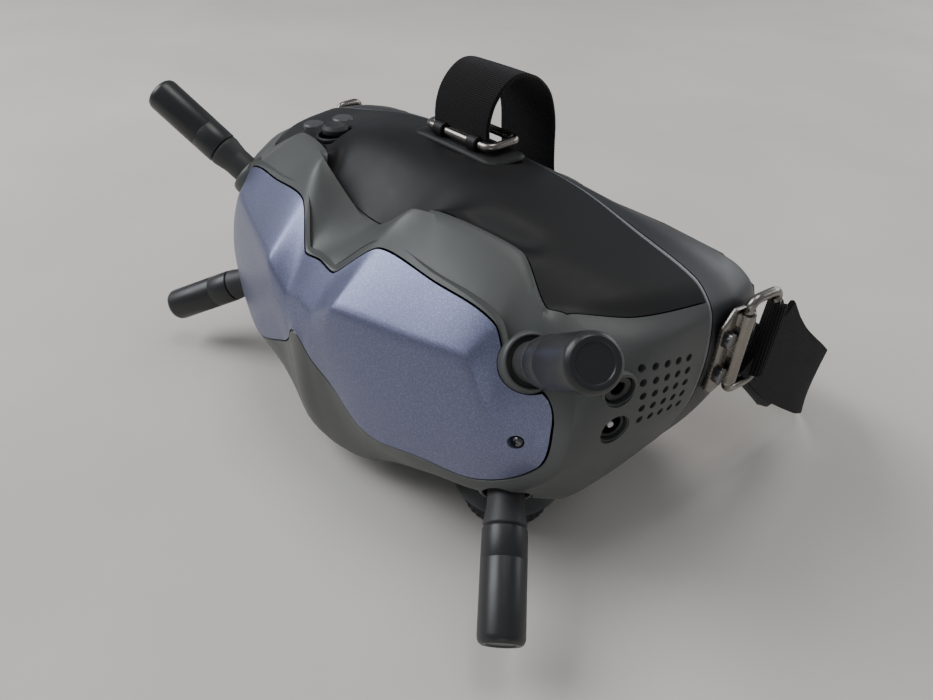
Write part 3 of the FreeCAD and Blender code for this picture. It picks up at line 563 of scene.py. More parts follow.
RIDGE = [(0, -24.0, 78.4), (10, -24.2, 83.0), (21.6, -24.6, 91.2), (28.5, -22.2, 91.4),
         (51.5, -15.9, 88.4), (66.0, -20.2, 79.9), (80, -22, 71), (84.5, -26.5, 58), (83.2, -29, 44.5),
         (70, -36.6, 33.2), (51, -42.5, 29), (31, -41, 16.5), (19, -43.8, 10.8), (8, -46.8, 10.5),
         (0, -49, 13.5)]
SEAM = [(0, -22.6, 78.9), (11, -22.8, 80.3), (21.0, -24.8, 82.8), (25.2, -21.0, 91.2),
        (52.2, -14.2, 88.2), (64.9, -18.2, 80.3), (69.8, -16.2, 79.9), (83.6, -15, 73.3), (87.6, -17, 60),
        (86.2, -17, 45), (79.5, -19, 27), (63, -20, 16.8), (41, -23, 14.2),
        (19, -30, 12.6), (6, -36, 18.5), (0, -37, 28)]
MIDDLE = [(0, -4, 92.8), (10, -4, 93.4), (22, -5, 94), (38, -5, 92), (56, -5, 87.8),
          (74, -4.8, 83.2), (80.6, -4.4, 79.8), (87, -6, 75.5), (90, -5, 62), (88, -4, 46), (79, -4, 24),
          (62, -5, 15), (40, -8, 11), (20, -12, 12), (8, -20, 16), (0, -20, 18)]
TRIM_A = [(0, 22.2, 92.2), (12, 22.2, 92.2), (26, 21.4, 92), (42, 20, 90.9), (62, 17.8, 87.4),
          (81.5, 16, 83.3), (87.4, 14.6, 79.8), (90, 13.9, 75.4), (91.2, 13.6, 62), (89, 13.6, 46),
          (80, 13.8, 26),
          (62, 14, 12), (40, 14, 6), (20, 14, 10), (9, 12, 17), (0, 11, 21)]
REAR = [(0, 27, 88), (12, 27, 88), (26, 27.5, 87.5), (42, 29, 86.5), (60, 32, 85),
        (77, 36, 81.5), (82.6, 37.6, 79.2), (87, 38.5, 75), (90, 41, 62), (87, 41, 47), (79, 39, 30),
        (62, 36, 13), (40, 33, 0.8), (22, 31, 8), (9, 30, 30), (0, 30, 40)]
HALF = 15                                # steps of the half ring, between 16 points
COUNT = 2 * HALF


def outward_of(a, b, share, distance, back=0.0):
    """A point between two, moved away from the housing's long axis."""
    p = np.array(a, float) * (1 - share) + np.array(b, float) * share
    d = np.array([p[0], 0, p[2] - 50.0])
    d = d / np.linalg.norm(d)
    p = p + d * distance
    return (p[0], p[1] + back, p[2])


def toward(a, b, distance):
    a, b = np.array(a, float), np.array(b, float)
    return tuple(a + (b - a) / np.linalg.norm(b - a) * distance)


ridge = with_seam(RIDGE, midway(RIDGE))
outline = with_seam(OUTLINE, midway(OUTLINE))
lip = [toward(a, b, 0.55) for a, b in zip(outline, ridge)]
lip = [(x, y - 0.1, z) for x, y, z in lip]
inner = [(x, y + 0.75, z) for x, y, z in outline]
trim_b = [toward(a, b, 1.5) for a, b in zip(TRIM_A, REAR)]
bulged = [outward_of(a, b, 0.5, 1.3) for a, b in zip(trim_b, REAR)]
rolled = [outward_of(a, a, 0.0, -2.2, 1.6) for a in REAR]
RINGS = [inner, lip, ridge, SEAM, MIDDLE, TRIM_A, trim_b, bulged, REAR, rolled]
STEPS = [2, 6, 2, 8, 9, 2, 5, 5, 4]
V_EASE = {1: 0.55, COUNT - 1: 0.55, 2: 0.7, COUNT - 2: 0.7}
LOBE_EASE = {}
for place, value in ((1, 0.7), (2, 0.55), (3, 0.5), (4, 0.6), (5, 0.8)):
    LOBE_EASE[place] = value
    LOBE_EASE[COUNT - place] = value


def scoop(p, depth, a, b, spread):
    """How far a cover point sinks into the air scoop behind the brow, between two points."""
    q = np.array([abs(p[0]), p[1]])
    a, b = np.array(a), np.array(b)
    d = b - a
    t = np.clip(np.dot(q - a, d) / np.dot(d, d), 0, 1)
    gap = np.linalg.norm(q - (a + d * t))
    return depth * math.exp(-(gap / spread) ** 2)


def housing_grid():
    dense = []
    for i, r in enumerate(RINGS):
        ease = V_EASE if i < 2 else LOBE_EASE if i < 4 else None
        dense.append(spline(full_ring(r), PER, True, ease))
    columns = []
    for k in range(COUNT * PER):
        line = [d[k] for d in dense]
        columns.append(spline(line, STEPS, False, {1: 0.2, 2: 0.7, 3: 0.4, 5: 0.9, 6: 0.9, 8: 0.7}))
    return np.array(columns)             # [around][along][xyz]


GRID = housing_grid()
START = [sum(STEPS[:i]) for i in range(len(STEPS) + 1)]


def piece_of(gap, k):
    """Which piece a face belongs to, from its gap between rings and its place round the ring."""
    c = k / PER
    c = min(c, COUNT - c)
    if gap >= 6:
        return "rear_shell"
    if gap == 5:
        return "trim_line"
    if gap >= 3 and c < 6:
        return "top_cover"
    if gap >= 3 and c >= 10:
        return "lower_shell"
    return "front_frame"


def surface_pieces():
    around = COUNT * PER
    found = {}
    for gap in range(len(STEPS)):
        for j in range(START[gap], START[gap + 1]):
            for k in range(around):
                found.setdefault(piece_of(gap, k + 0.5), []).append((k, j))
    return found


def grid_piece(name, cells, material, gap_width, thickness, extra=None):
    around = COUNT * PER
    index, verts, faces = {}, [], []
    for k, j in cells:
        quad = []
        for kk, jj in ((k, j), (k + 1, j), (k + 1, j + 1), (k, j + 1)):
            key = (kk % around, jj)
            if key not in index:
                index[key] = len(verts)
                p = GRID[key[0], key[1]].copy()
                if extra is not None:
                    p = extra(p, key)
                verts.append(world(p))
            quad.append(index[key])
        faces.append(tuple(quad))
    ob = new_object(name, verts, faces, material)
    mend_normals(ob)
    with edited(ob) as bm:
        moves = {}
        for v in bm.verts:
            if v.is_boundary:
                inside = [e.other_vert(v).co for e in v.link_edges if not e.is_boundary]
                if not inside:
                    inside = [f.calc_center_median() for f in v.link_faces]
                d = sum(inside, Vector()) / len(inside) - v.co
                if d.length > 1e-7:
                    moves[v] = v.co + d.normalized() * min(gap_width * MM, d.length * 0.6)
        for v, co in moves.items():
            v.co = co
    walled(ob, thickness)
    return ob


def outward(ob, centre):
    """Turns a sheet's faces to point away from a point inside the housing."""
    c = world(centre)
    with edited(ob) as bm:
        score = sum(f.normal.dot(f.calc_center_median() - c) * f.calc_area() for f in bm.faces)
        if score < 0:
            bmesh.ops.reverse_faces(bm, faces=bm.faces)


def rod(name, radius, start, aim, length, steps=40):
    axis = Vector(aim).normalized()
    turn = axis.to_track_quat("Z", "Y")
    base = world(start)
    verts, faces = [], []
    for s in (0, length):
        for k in range(steps):
            a = math.tau * k / steps
            verts.append(base + turn @ Vector((radius * MM * math.cos(a), radius * MM * math.sin(a), s * MM)))
    for k in range(steps):
        j = (k + 1) % steps
        faces.append((k, j, steps + j, steps + k))
    faces.append(tuple(range(steps))[::-1])
    faces.append(tuple(range(steps, 2 * steps)))
    return new_object(name, verts, faces, "inner_black", smooth=False)


def joined(name, obs):
    bm = bmesh.new()
    for o in obs:
        bm.from_mesh(o.data)
        bpy.data.objects.remove(o)
    mesh = bpy.data.meshes.new(name)
    bm.to_mesh(mesh)
    bm.free()
    return linked(name, mesh)


TOP_BASE, TOP_AIM = (70.3, -27.2, 71.4), (0.707, -0.378, 0.598)
LOW_BASE, LOW_AIM = (68.7, -30.6, 31.5), (0.657, -0.632, -0.411)
PORT_AIM = (0.944, -0.33, 0.0)
AUDIO_AT = (86.9, -14.6, 66.9)
POWER_AT = (86.9, -14.7, 55.6)


def along(base, aim, distance):
    return tuple(b + a * distance for b, a in zip(base, aim))


def antennas():
    for level, base, aim in (("top", TOP_BASE, TOP_AIM), ("low", LOW_BASE, LOW_AIM)):
        for side, sign in (("right", 1), ("left", -1)):
            yield level + "_" + side, (base[0] * sign, base[1], base[2]), (aim[0] * sign, aim[1], aim[2])


def cover_shape(p, key):
    """Sinks the two air scoops behind the brows and the cover's edge along the slot in front of each."""
    p[2] -= scoop(p, 2.3, (35.5, -14.6), (49.5, -10.6), 3.6)
    if key[1] == START[3] and 29 < abs(p[0]) < 52:
        p[2] -= 2.0
        p[1] += 0.5
    return p


# node: (mesh name, material, how far its rim draws back from its neighbours, wall thickness, change of shape)
HOUSING_SKINS = {
    "front_frame": ("frame_skin", "frame_grey", 0.16, 2.0),
    "top_cover": ("cover_skin", "cover_black", 0.2, 1.8, cover_shape),
    "lower_shell": ("lower_skin", "frame_grey", 0.15, 2.0),
    "rear_shell": ("rear_skin", "rear_black", 0.15, 2.2),
    "trim_line": ("trim_skin", "trim_grey", 0.12, 1.2),
}
GRILLE_COUNT = 5
FOOT_X, FOOT_Y = 52, -12.5
FOOT_SLOT_R = 9.5
# windows in the -X side wall, each (y from, y to, z from, z to): channel display, data socket, card slot
SIDE_WINDOWS = [(-2.3, 10.3, 55.7, 64.3), (-15.2, -4.8, 40.7, 45.3), (-1.6, 11.6, 41.5, 44.5)]
SIDE_BUTTONS = [(4, 69), (4, 51), (-12, 60)]
TOP_BUTTONS = [(-53, 2), (-59, -6)]
JOYSTICK_X, JOYSTICK_Y = -40, -9


def build_housing():
    cells = surface_pieces()
    pieces = {node: grid_piece(skin, cells[node], *rest) for node, (skin, *rest) in HOUSING_SKINS.items()}
    for ob in pieces.values():
        outward(ob, (0, 0, 55))
        bake(ob)
    holes = []
    for i in range(GRILLE_COUNT):
        for j in range(GRILLE_COUNT):
            y = -8.8 + i * 3.95 + j * 0.35
            z = 71.2 - j * 3.9 - i * 0.7
            holes.append(rod("hole", 1.05, (80, y, z), (1, 0, 0), 14, 20))
    for at in (AUDIO_AT, POWER_AT):
        holes.append(rod("hole", 4.3, along(at, PORT_AIM, -9), PORT_AIM, 16))
    cut(pieces["front_frame"], joined("holes", holes))
    cups = [rod("cup", 7.0, along(b, a, -6), a, 20, 64) for _, b, a in antennas()]
    cut(pieces["front_frame"], joined("cups", cups))
    side = []
    for y0, y1, z0, z1 in SIDE_WINDOWS:
        side.append(block("cut", (-96, y0, z0), (-80, y1, z1)))
    for y, z in SIDE_BUTTONS:
        side.append(rod("hole", 2.9, (-96, y, z), (1, 0, 0), 16))
    cut(pieces["front_frame"], joined("side", side))
    tops = [rod("hole", 3.9, (x, y, 70), (0, 0, 1), 30) for x, y in TOP_BUTTONS]
    tops.append(rod("hole", 5.6, (JOYSTICK_X, JOYSTICK_Y, 70), (0, 0, 1), 30))
    cut(pieces["top_cover"], joined("tops", tops))
    for node in ("lower_shell", "front_frame"):
        slots = [rod("hole", FOOT_SLOT_R, (s * FOOT_X, FOOT_Y, -2), (0, 0, 1), 24, 64) for s in (1, -1)]
        cut(pieces[node], joined("slots", slots))
    for node, ob in pieces.items():
        material = HOUSING_SKINS[node][1]
        dress(ob, material, 38)
        bevel(ob, 0.28, 2, 38)
        settle(ob, "housing", material, node)


def block(name, low, high):
    x0, y0, z0 = low
    x1, y1, z1 = high
    verts = [world((x, y, z)) for x in (x0, x1) for y in (y0, y1) for z in (z0, z1)]
    faces = [(0, 1, 3, 2), (4, 6, 7, 5), (0, 4, 5, 1), (2, 3, 7, 6), (0, 2, 6, 4), (1, 5, 7, 3)]
    return new_object(name, verts, faces, "inner_black", smooth=False)


# ------------------------------------------------------------------ front plate
PLATE_PER = 14                           # steps between two points of the plate's outline
PLATE_BELLY = 1.1
PLATE_GAP = 0.2
SCREW_AT = (73.7, -32.0, 52.4)


def plate_grid():
    """One half of the plate: columns from the middle out, rows from upper edge over crest to lower edge."""
    n = PLATE_PER
    around = 2 * (len(OUTLINE) - 1)
    ring = spline(full_ring(OUTLINE), n, True, {1: 0.55, around - 1: 0.55, 2: 0.7, around - 2: 0.7})
    upper = ring[0:6 * n + 1]
    end = ring[6 * n:8 * n + 1]
    lower = ring[8 * n:14 * n + 1][::-1]
    crest = spline(CREST, n, False, {1: 0.4, 2: 0.3, 3: 0.8, 4: 0.35, 5: 0.6})
    cols = 6 * n + 1
    rows = 2 * n + 1
    g = np.zeros((cols, rows, 3))
    for j in range(cols):
        for v in range(rows):
            if v <= n:
                t = v / n
                g[j, v] = upper[j] * (1 - t) + crest[j] * t
            else:
                t = (v - n) / n
                belly = PLATE_BELLY * math.sin(math.pi * t) * min(j / n, 1.0)
                g[j, v] = crest[j] * (1 - t) + lower[j] * t
                g[j, v, 1] -= belly
    g[-1] = end
    return g


def relax(g, rounds, weight):
    for _ in range(rounds):
        n = g.copy()
        n[1:-1, 1:-1] = (g[:-2, 1:-1] + g[2:, 1:-1] + g[1:-1, :-2] + g[1:-1, 2:]) / 4
        left = g[1, 1:-1] * np.array([-1, 1, 1])
        n[0, 1:-1] = (g[1, 1:-1] + left + g[0, :-2] + g[0, 2:]) / 4
        n[0, :, 0] = 0
        g = g * (1 - weight) + n * weight
        g[0, 0, 0] = 0
    return g


def build_plate():
    g = relax(plate_grid(), 2, 0.6)
    cols, rows = g.shape[:2]
    verts, faces, index = [], [], {}
    for sign in (1, -1):
        for j in range(cols):
            for v in range(rows):
                if j == 0 and sign < 0:
                    index[(sign, j, v)] = index[(1, 0, v)]
                    continue
                index[(sign, j, v)] = len(verts)
                p = g[j, v]
                verts.append(world((p[0] * sign, p[1], p[2])))
        for j in range(cols - 1):
            for v in range(rows - 1):
                corners = ((j, v), (j + 1, v), (j + 1, v + 1), (j, v + 1))
                f = [index[(sign, *c)] for c in corners]
                faces.append(tuple(f if sign > 0 else f[::-1]))
    ob = new_object("plate_skin", verts, faces, "plate_blue")
    mend_normals(ob)
    with edited(ob) as bm:
        moves = []
        for v in bm.verts:
            if not v.is_boundary:
                continue
            inside = [e.other_vert(v).co for e in v.link_edges if not e.is_boundary]
            if inside:
                d = sum(inside, Vector()) / len(inside) - v.co
                moves.append((v, v.co + d.normalized() * PLATE_GAP * MM))
        for v, co in moves:
            v.co = co
        if sum(f.normal.y * f.calc_area() for f in bm.faces) > 0:
            bmesh.ops.reverse_faces(bm, faces=bm.faces)
    walled(ob, 1.6)
    bake(ob)
    cups = [rod("cup", 7.75, along(b, a, -8), a, 30, 64) for _, b, a in antennas()]
    cut(ob, joined("cups", cups))
    x, y, z = SCREW_AT
    screws = [rod("hole", 1.75, (sign * x, y - 8, z), (0, 1, 0), 18) for sign in (1, -1)]
    cut(ob, joined("screws", screws))
    dress(ob, "plate_blue", 40)
    bevel(ob, 0.25, 2, 40)
    settle(ob, "housing", "plate_blue", "front_plate")
    return ob


def build_screws():
    """Two small cross-headed screws, sunk in the plate's outer ends."""
    x, y, z = SCREW_AT
    heads = []
    for sign in (1, -1):
        head = [(0.0, -4.0), (1.45, -4.0), (1.45, 1.35), (1.3, 1.75), (0.85, 2.0), (0.0, 2.1)]
        ob = lathe("screw", rounded(head, 0.15), (sign * x, y - 0.2, z), (0, -1, 0), "screw_steel", 48)
        for half_x, half_z in ((0.85, 0.19), (0.19, 0.85)):
            low = (sign * x - half_x, y - 4, z - half_z)
            high = (sign * x + half_x, y - 1.6, z + half_z)
            cut(ob, block("cross", low, high))
        heads.append(ob)
    pair = joined("screw_heads", heads)
    dress(pair, "screw_steel", 30)
    settle(pair, "housing", "screw_steel", "plate_screws")


def build_collar():
    """A low collar in the cover round the joystick."""
    ring = [(5.5, -3.0), (5.5, 0.0), (5.65, 0.2), (5.95, 0.15), (6.3, -0.2), (6.5, -0.8), (6.5, -3.0)]
    ob = lathe("joystick_collar", rounded(ring, 0.15), (JOYSTICK_X, JOYSTICK_Y, 90.6),
               (-0.06, -0.12, 1.0), "cover_black")
    settle(ob, "housing", "cover_black")


# ------------------------------------------------------------------ antennas and sockets
def build_antennas():
    for name, base, aim in antennas():
        neck = [(3.3, 0.0), (4.9, 0.0), (4.95, 0.4), (4.95, 6.2), (5.15, 7.4), (5.75, 10.6), (5.8, 11.5),
                (5.4, 11.75), (5.4, 12.0), (2.0, 12.0)]
        foot = lathe("neck_" + name, rounded(neck, 0.5), base, aim, "antenna_neck_black")
        settle(foot, "antenna_" + name, "antenna_neck_black", "antenna_foot_" + name)
        body = [(2.0, 12.0), (5.4, 12.0), (5.85, 12.3), (5.95, 12.7), (5.98, 20.0), (5.93, 20.1),
                (5.98, 20.25), (5.98, 37.9), (5.86, 38.8), (5.5, 39.5), (4.9, 39.93), (4.3, 40.0),
                (3.9, 39.85), (3.7, 39.6), (2.0, 39.6), (0.0, 39.62)]
        sleeve = lathe("sleeve_" + name, body, base, aim, "antenna_black")
        settle(sleeve, "antenna_" + name, "antenna_black", "antenna_sleeve_" + name)
        if name.startswith("low"):
            cup = [(6.2, -3.4), (6.2, 2.3), (6.4, 2.75), (6.8, 2.7), (7.3, 2.2), (7.6, 1.0), (7.7, -2.5)]
        else:
            cup = [(6.1, -3.4), (6.1, 0.3), (6.3, 0.7), (6.75, 0.65), (7.2, 0.2), (7.5, -0.8), (7.6, -3.0)]
        rim = lathe("cup_" + name, rounded(cup, 0.6), base, aim, "frame_grey")
        settle(rim, "housing", "frame_grey")
        well = lathe("well_" + name, [(6.3, -0.15), (3.6, -0.15), (3.6, -3.0)], base, aim, "inner_black")
        settle(well, "housing", "inner_black")


def build_ports():
    for name, at, bore in (("audio", AUDIO_AT, 1.8), ("power", POWER_AT, 2.8)):
        ring = [(3.9, -5.0), (3.95, 0.1), (4.05, 0.35), (4.3, 0.4), (4.75, 0.15), (4.9, -0.5), (4.9, -5.0)]
        rim = lathe("rim_" + name, rounded(ring, 0.12), at, PORT_AIM, "frame_grey")
        settle(rim, "housing", "frame_grey")
        plug = [(bore, -9.5), (bore, -0.9), (bore + 0.25, -0.65), (3.4, -0.6), (3.65, -0.85), (3.7, -12.8),
                (0.0, -12.8)]
        face = lathe("face_" + name, plug, at, PORT_AIM, "socket_black")
        settle(face, "housing", "socket_black", name + "_socket")
    pin = [(0.0, -0.7), (0.8, -0.72), (1.05, -1.0), (1.05, -9.8), (0.0, -9.8)]
    settle(lathe("power_pin", pin, POWER_AT, PORT_AIM, "rod_steel"), "housing", "rod_steel")


KNOB_GROOVES = 36


def build_feet():
    for side, sign in (("right", 1), ("left", -1)):
        at = (sign * FOOT_X, FOOT_Y, 0.0)
        skirt = [(9.4, 20.0), (10.2, 17.0), (12.5, 13.2), (15.6, 10.9), (17.0, 9.9), (17.2, 9.6),
                 (16.9, 9.4), (15.2, 9.6), (12.0, 10.6), (9.6, 12.0), (9.4, 14.0)]
        cone = lathe("skirt_" + side, rounded(skirt, 0.5), at, (0, 0, 1), "frame_grey")
        settle(cone, "housing", "frame_grey")
        knob = [(0.0, 0.0), (12.0, 0.0), (12.8, 0.15), (13.4, 0.8), (13.5, 1.6), (13.5, 7.4), (13.0, 8.6),
                (12.0, 9.0), (4.0, 9.0), (4.0, 23.5)]
        ob = lathe("knob_skin_" + side, knob, at, (0, 0, 1), "knob_black", 144)
        centre = world(at)
        with edited(ob) as bm:
            for v in bm.verts:
                d = Vector((v.co.x - centre.x, v.co.y - centre.y))
                if d.length > 13.2 * MM and v.co.z < 8.2 * MM:
                    a = math.atan2(d.y, d.x)
                    k = 1 - 0.04 * max(0.0, math.cos(a * KNOB_GROOVES))
                    v.co.x = centre.x + d.x * k
                    v.co.y = centre.y + d.y * k
        settle(ob, "eye_" + side, "knob_black", "eye_knob_" + side)


# ------------------------------------------------------------------ strap hardware
RING_HALF = 14.2
WIRE_R = 1.3


def build_rings():
    h = RING_HALF
    top = [(-h, 9, 97.2), (h, 9, 97.2), (h, 20, 97.8), (-h, 20, 97.8)]
    path = corner_path([world(p) for p in top], 2.6 * MM)
    ob = tube("top_ring_wire", path, WIRE_R, "hardware_steel")
    settle(ob, "top_ring", "hardware_steel", "top_ring")
    for side, sign in (("right", 1), ("left", -1)):
        ring = [(93.7, 25, 65 - h), (93.7, 25, 65 + h), (95.0, 36, 65 + h), (95.0, 36, 65 - h)]
        path = corner_path([world((x * sign, y, z)) for x, y, z in ring], 3.4 * MM)
        ob = tube("side_ring_wire_" + side, path, WIRE_R, "hardware_steel")
        settle(ob, "side_ring_" + side, "hardware_steel", "side_ring_" + side)


def build_mount():
    """The top ring's seat: a low pad with rolled edges and two small barrels closed round the ring's wire."""
    verts, faces = [], []
    nx, ny = 24, 10
    for i in range(nx + 1):
        for j in range(ny + 1):
            u, v = -1 + 2 * i / nx, -1 + 2 * j / ny
            corner = max(abs(u) - 0.86, 0.0) / 0.14
            depth = 7.6 * (1 - 0.35 * corner ** 2)
            rise = 1.3 * (1 - abs(u) ** 10) * (1 - abs(v) ** 6)
            x, y = u * 19.4, 12.8 + v * depth
            verts.append(world((x, y, 94.25 - 0.0009 * x * x + rise)))
    for i in range(nx):
        for j in range(ny):
            a = i * (ny + 1) + j
            faces.append((a, a + ny + 1, a + ny + 2, a + 1))
    pad = new_object("mount_pad", verts, faces, "cover_black")
    walled(pad, 1.2)
    bake(pad)
    settle(pad, "housing", "cover_black", "top_mount")
    for x in (-9.6, 5.6):
        barrel = [(1.45, 0.0), (2.1, 0.0), (2.3, 0.25), (2.3, 3.75), (2.1, 4.0), (1.45, 4.0)]
        ob = lathe("mount_barrel", rounded(barrel, 0.2), (x, 9, 97.2), (1, 0, 0), "cover_black", 48)
        settle(ob, "housing", "cover_black")
        neck = block("mount_neck", (x + 0.3, 7.6, 94.4), (x + 3.7, 10.4, 95.9))
        neck.data.materials[0] = MAT["cover_black"]
        bevel(neck, 0.4, 3)
        bake(neck)
        settle(neck, "housing", "cover_black")


def shown(node, material, width):
    """A CAD piece kept as it is, with its edges eased and its own finish."""
    ob = nodes[node]
    w = ob.modifiers.new("weld", "WELD")
    w.merge_threshold = 0.00001
    if width > 0:
        bevel(ob, width, 2, 30)
    dress(ob, material, 30)


# ------------------------------------------------------------------ straps and foam
ACROSS = 9                               # points over a strap's width, on each face
CROWN = 0.12                             # share of its thickness a strap loses towards its sides
SELVEDGE = 0.35                          # how far a strap's flat face stops short of its rounded side


def ribbon(name, line, material, thickness=1.7, per=8):
    """Webbing through (middle, across, half width) stations: a closed, crowned band with UVs in metres."""
    middles = spline([s[0] for s in line], per)
    acrosses = spline([s[1] for s in line], per)
    halves = spline([(s[2], 0, 0) for s in line], per)[:, 0]
    n = len(middles)
    section = []
    r = thickness / 2
    for k in range(ACROSS):
        t = -1 + 2 * k / (ACROSS - 1)
        section.append((t, r * (1.0 - CROWN * t * t)))
    verts, faces, uvs = [], [], []
    run = 0.0
    loop = section + [(1.0, 0.0)] + [(t, -h) for t, h in section[::-1]] + [(-1.0, 0.0)]
    m = len(loop)
    for i in range(n):
        a = middles[max(i - 1, 0)]
        b = middles[min(i + 1, n - 1)]
        t = Vector(b - a).normalized()
        across = Vector(acrosses[i])
        across = (across - t * across.dot(t)).normalized()
        normal = t.cross(across).normalized()
        if i > 0:
            run += float(np.linalg.norm(middles[i] - middles[i - 1]))
        for w, hgt in loop:
            at_side = abs(w) == 1.0 and hgt == 0.0
            reach = halves[i] if at_side else halves[i] - SELVEDGE
            p = Vector(middles[i]) + across * (w * reach) + normal * hgt
            verts.append(world(p))
            uvs.append((run * MM, w * halves[i] * MM))
    for i in range(n - 1):
        for k in range(m):
            j = (k + 1) % m
            faces.append((i * m + k, i * m + j, (i + 1) * m + j, (i + 1) * m + k))
    faces.append(tuple(range(m))[::-1])
    faces.append(tuple(range((n - 1) * m, n * m)))
    ob = new_object(name, verts, faces, material, uvs=uvs)
    with edited(ob) as bm:
        bmesh.ops.recalc_face_normals(bm, faces=bm.faces)
    sharpen(ob, 50)
    return ob


# the top strap's (y, z), the side strap's (x, y, z, lean) and its tail's (x, y, z, lean, half width)
TOP_PATH = [(10.4, 99.0), (10.3, 101.5), (10.9, 105.2), (12.6, 109), (16, 112.6), (20.5, 114.7),
            (25.6, 114.2), (30.6, 111.8), (35.2, 107), (38, 99), (38.9, 90), (40, 82), (43.5, 73), (53, 60),
            (66, 48), (80, 38), (92, 32), (98.4, 29), (100.7, 26)]
SIDE_PATH = [(94.9, 37.8, 63.6, 4), (95.1, 40.6, 60.6, 12), (95.4, 45.5, 55.4, 22), (95.8, 54, 47.6, 28),
             (96.1, 65.5, 38.6, 26), (96.0, 77.5, 29.8, 17), (94.6, 88.0, 22.2, 7), (91.4, 95.8, 16.8, 0),
             (86.2, 100.6, 13.8, -2), (78.6, 102.4, 12.7, -1), (69, 102.6, 12.6, 0), (48, 101.6, 12.6, 0),
             (26, 101, 12.6, 0), (9, 100.8, 12.6, 0)]
TAIL_PATH = [(93.1, 37.8, 62.6, 4, 12), (92.8, 40.6, 59.6, 10, 12), (92.4, 46, 54, 28, 12),
             (92, 56, 44.5, 40, 12), (91.4, 66.5, 34, 44, 11.6), (91, 73.5, 26.5, 46, 9.4),
             (90.9, 76.0, 23.9, 46, 6.4), (90.8, 77.2, 22.6, 46, 2.6)]
STRAP_HALF = 12.0


def leaning(points, sign):
    """Stations for a strap whose cross lines lean back by an angle in degrees; sign mirrors them."""
    out = []
    for p in points:
        x, y, z, lean = p[:4]
        half = p[4] if len(p) > 4 else STRAP_HALF
        a = math.radians(lean)
        out.append(((x * sign, y, z), (0.0, math.sin(a), math.cos(a)), half))
    return out


def build_straps():
    line = [((0.0, y, z), (1.0, 0.0, 0.0), STRAP_HALF) for y, z in TOP_PATH]
    settle(ribbon("top_webbing", line, "strap_elastic"), "housing", "strap_elastic", "top_strap")
    for side, sign in (("right", 1), ("left", -1)):
        body = "side_ring_" + side
        web = ribbon("side_webbing_" + side, leaning(SIDE_PATH, sign), "strap_elastic")
        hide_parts("side_strap_" + side)
        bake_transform(web)
        tail = ribbon("side_tail_" + side, leaning(TAIL_PATH, sign), "strap_loop", 1.5)
        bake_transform(tail)
        fold = []
        for k in range(9):
            a = math.pi * k / 8
            middle = (sign * (95.4 + math.cos(a) * 2.1), 36.8 - math.sin(a) * 2.6, 64.2)
            fold.append((middle, (0.0, 0.05, 1.0), 11.4))
        settle(ribbon("side_fold_" + side, fold, "strap_elastic", 1.5, per=3), body, "strap_elastic")


FOAM_IN = [(0, 71), (12, 71), (26, 70.5), (39, 69.5), (52, 66.5), (63, 61), (68, 56.5), (70, 53),
           (69, 47), (63, 38), (52, 30), (41, 26), (29, 28.5), (16, 42), (0, 52)]
FOAM_OUT = [(0, 85), (12, 85.6), (26, 85.8), (39, 81.5), (57, 74), (71, 68), (79, 61.5), (82, 55),
            (80, 46), (73, 34), (58, 20), (40, 11.5), (23.5, 15), (10.5, 33.5), (0, 43.5)]
REAR_Y = [27, 27, 27.5, 29, 32, 36, 38.5, 41, 41, 39, 36, 33, 31, 30, 30]


def build_foam():
    """A soft ring against the face: inner and outer loops joined by a full round section."""
    a = spline(full_ring([(x, REAR_Y[i], z) for i, (x, z) in enumerate(FOAM_IN)]), 6, True)
    b = spline(full_ring([(x, REAR_Y[i], z) for i, (x, z) in enumerate(FOAM_OUT)]), 6, True)
    n = len(a)
    profile = [(0.04, 1.9), (0.0, 4.0), (0.0, 7.5), (0.1, 9.6), (0.28, 10.7), (0.5, 10.9), (0.7, 10.4),
               (0.88, 9.0), (0.98, 6.8), (1.0, 4.0), (0.96, 1.9)]
    m = len(profile)
    verts, faces = [], []
    for k in range(n):
        for w, depth in profile:
            p = a[k] * (1 - w) + b[k] * w
            shrink = 1 - 0.012 * depth / 10
            sag = 0.25 * depth if w > 0.6 and p[2] > 60 and abs(p[0]) > 34 else 0.0
            verts.append(world((p[0] * shrink, p[1] + depth, p[2] - sag)))
    for k in range(n):
        q = (k + 1) % n
        for i in range(m):
            j = (i + 1) % m
            faces.append((k * m + i, k * m + j, q * m + j, q * m + i))
    ob = new_object("foam_ring", verts, faces, "foam_fabric")
    mend_normals(ob)
    settle(ob, "housing", "foam_fabric", "face_foam")


# ------------------------------------------------------------------ building it all
build_housing()
build_plate()
build_screws()
build_collar()
build_antennas()
build_ports()
build_feet()
build_rings()
build_mount()
build_straps()
build_foam()

# CAD nodes shown as they are, by finish
PLAIN = {
    "inner_black": "inner_panel fan_housing fan_rotor foam_flange eye_barrel_right eye_barrel_left "
        "eye_carrier_right eye_carrier_left",
    "screen_black": "channel_display eye_screen_right eye_screen_left",
    "window_dark": "channel_window",
    "rod_steel": "guide_rods grille_mesh data_socket card_reader",
    "board_green": "main_board",
    "sink_aluminium": "heat_sink",
    "socket_brass": "antenna_sockets",
    "button_grey": "record_button back_button channel_up_button channel_down_button link_button",
    "joystick_black": "joystick_cap joystick_yoke joystick_plunger",
    "hardware_steel": "side_bracket_right side_bracket_left",
    "screw_steel": "bracket_screws",
    "joiner_black": "strap_joiner",
    "lens_glass": "eye_lens_right eye_lens_left",
}
LEFT_SHARP = ("grille_mesh", "channel_display", "fan_rotor")   # these keep their edges as drawn
for material, names in PLAIN.items():
    for node in names.split():
        shown(node, material, 0.0 if node in LEFT_SHARP else 0.18)


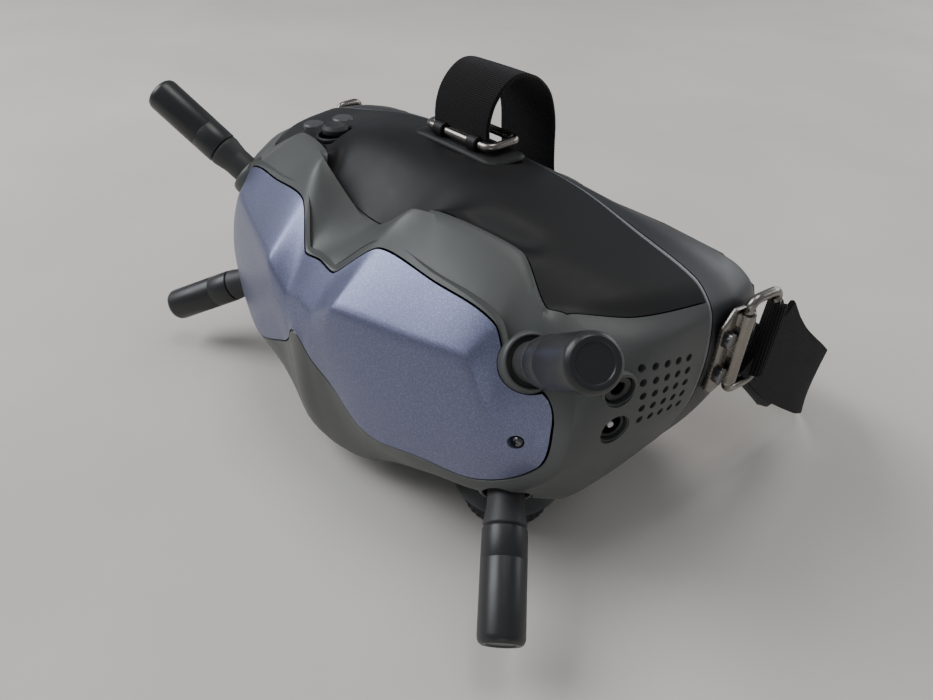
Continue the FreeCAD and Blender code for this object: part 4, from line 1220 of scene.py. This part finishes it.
# ------------------------------------------------------------------ floor, light, camera
def floor_material():
    m, t, s = new_material("floor")
    v = coordinates(t, 1.0)
    n = noise_of(t, v, 6.0, 5.0)
    tone = ramp(t, n, [(0.3, (0.60, 0.57, 0.52, 1)), (0.7, (0.68, 0.65, 0.60, 1))])
    t.links.new(tone, s.inputs["Base Color"])
    s.inputs["Roughness"].default_value = 0.75
    return m


mesh = bpy.data.meshes.new("floor")
HALF_FLOOR = 3.0
corners = [(x * HALF_FLOOR, y * HALF_FLOOR, 0) for x, y in ((-1, -1), (1, -1), (1, 1), (-1, 1))]
mesh.from_pydata(corners, [], [(0, 1, 2, 3)])
mesh.materials.append(floor_material())
linked("floor", mesh)


def area(name, place, target, size, power, colour):
    data = bpy.data.lights.new(name, "AREA")
    data.shape = "RECTANGLE"
    data.size, data.size_y = size
    data.energy = power
    data.color = colour
    ob = linked(name, data)
    ob.location = place
    ob.rotation_euler = (Vector(target) - Vector(place)).to_track_quat("-Z", "Y").to_euler()


area("window", (-0.75, -0.62, 0.95), (0, 0, 0.05), (0.8, 0.8), 14.0, (0.93, 0.96, 1.0))
area("back", (0.25, 1.15, 0.5), (0, 0, 0.05), (1.2, 0.5), 4.5, (0.95, 0.97, 1.0))
area("low", (1.0, -0.85, 0.16), (0, 0, 0.05), (0.6, 0.3), 0.8, (0.97, 0.98, 1.0))
area("over", (0.0, 0.25, 1.5), (0, 0, 0.05), (0.6, 0.6), 6.0, (1.0, 0.98, 0.95))
w = bpy.data.worlds.new("soft")
bpy.context.scene.world = w
w.use_nodes = True
w.node_tree.nodes["Background"].inputs[0].default_value = (0.88, 0.91, 1.0, 1)
w.node_tree.nodes["Background"].inputs[1].default_value = 0.28

cam_data = bpy.data.cameras.new("camera")
cam_data.sensor_width = 36.0
cam_data.lens = 27.01
cam_data.clip_start = 0.01
cam = linked("camera", cam_data)
right = Vector((0.6527, 0.7572, 0.0259))
up = Vector((-0.464, 0.3725, 0.8037))
back = Vector((0.5989, -0.5365, 0.5945))
turn = Matrix((right, up, back)).transposed().to_4x4()
cam.matrix_world = Matrix.Translation(world((156.5, -125, 170))) @ turn
bpy.context.scene.camera = cam
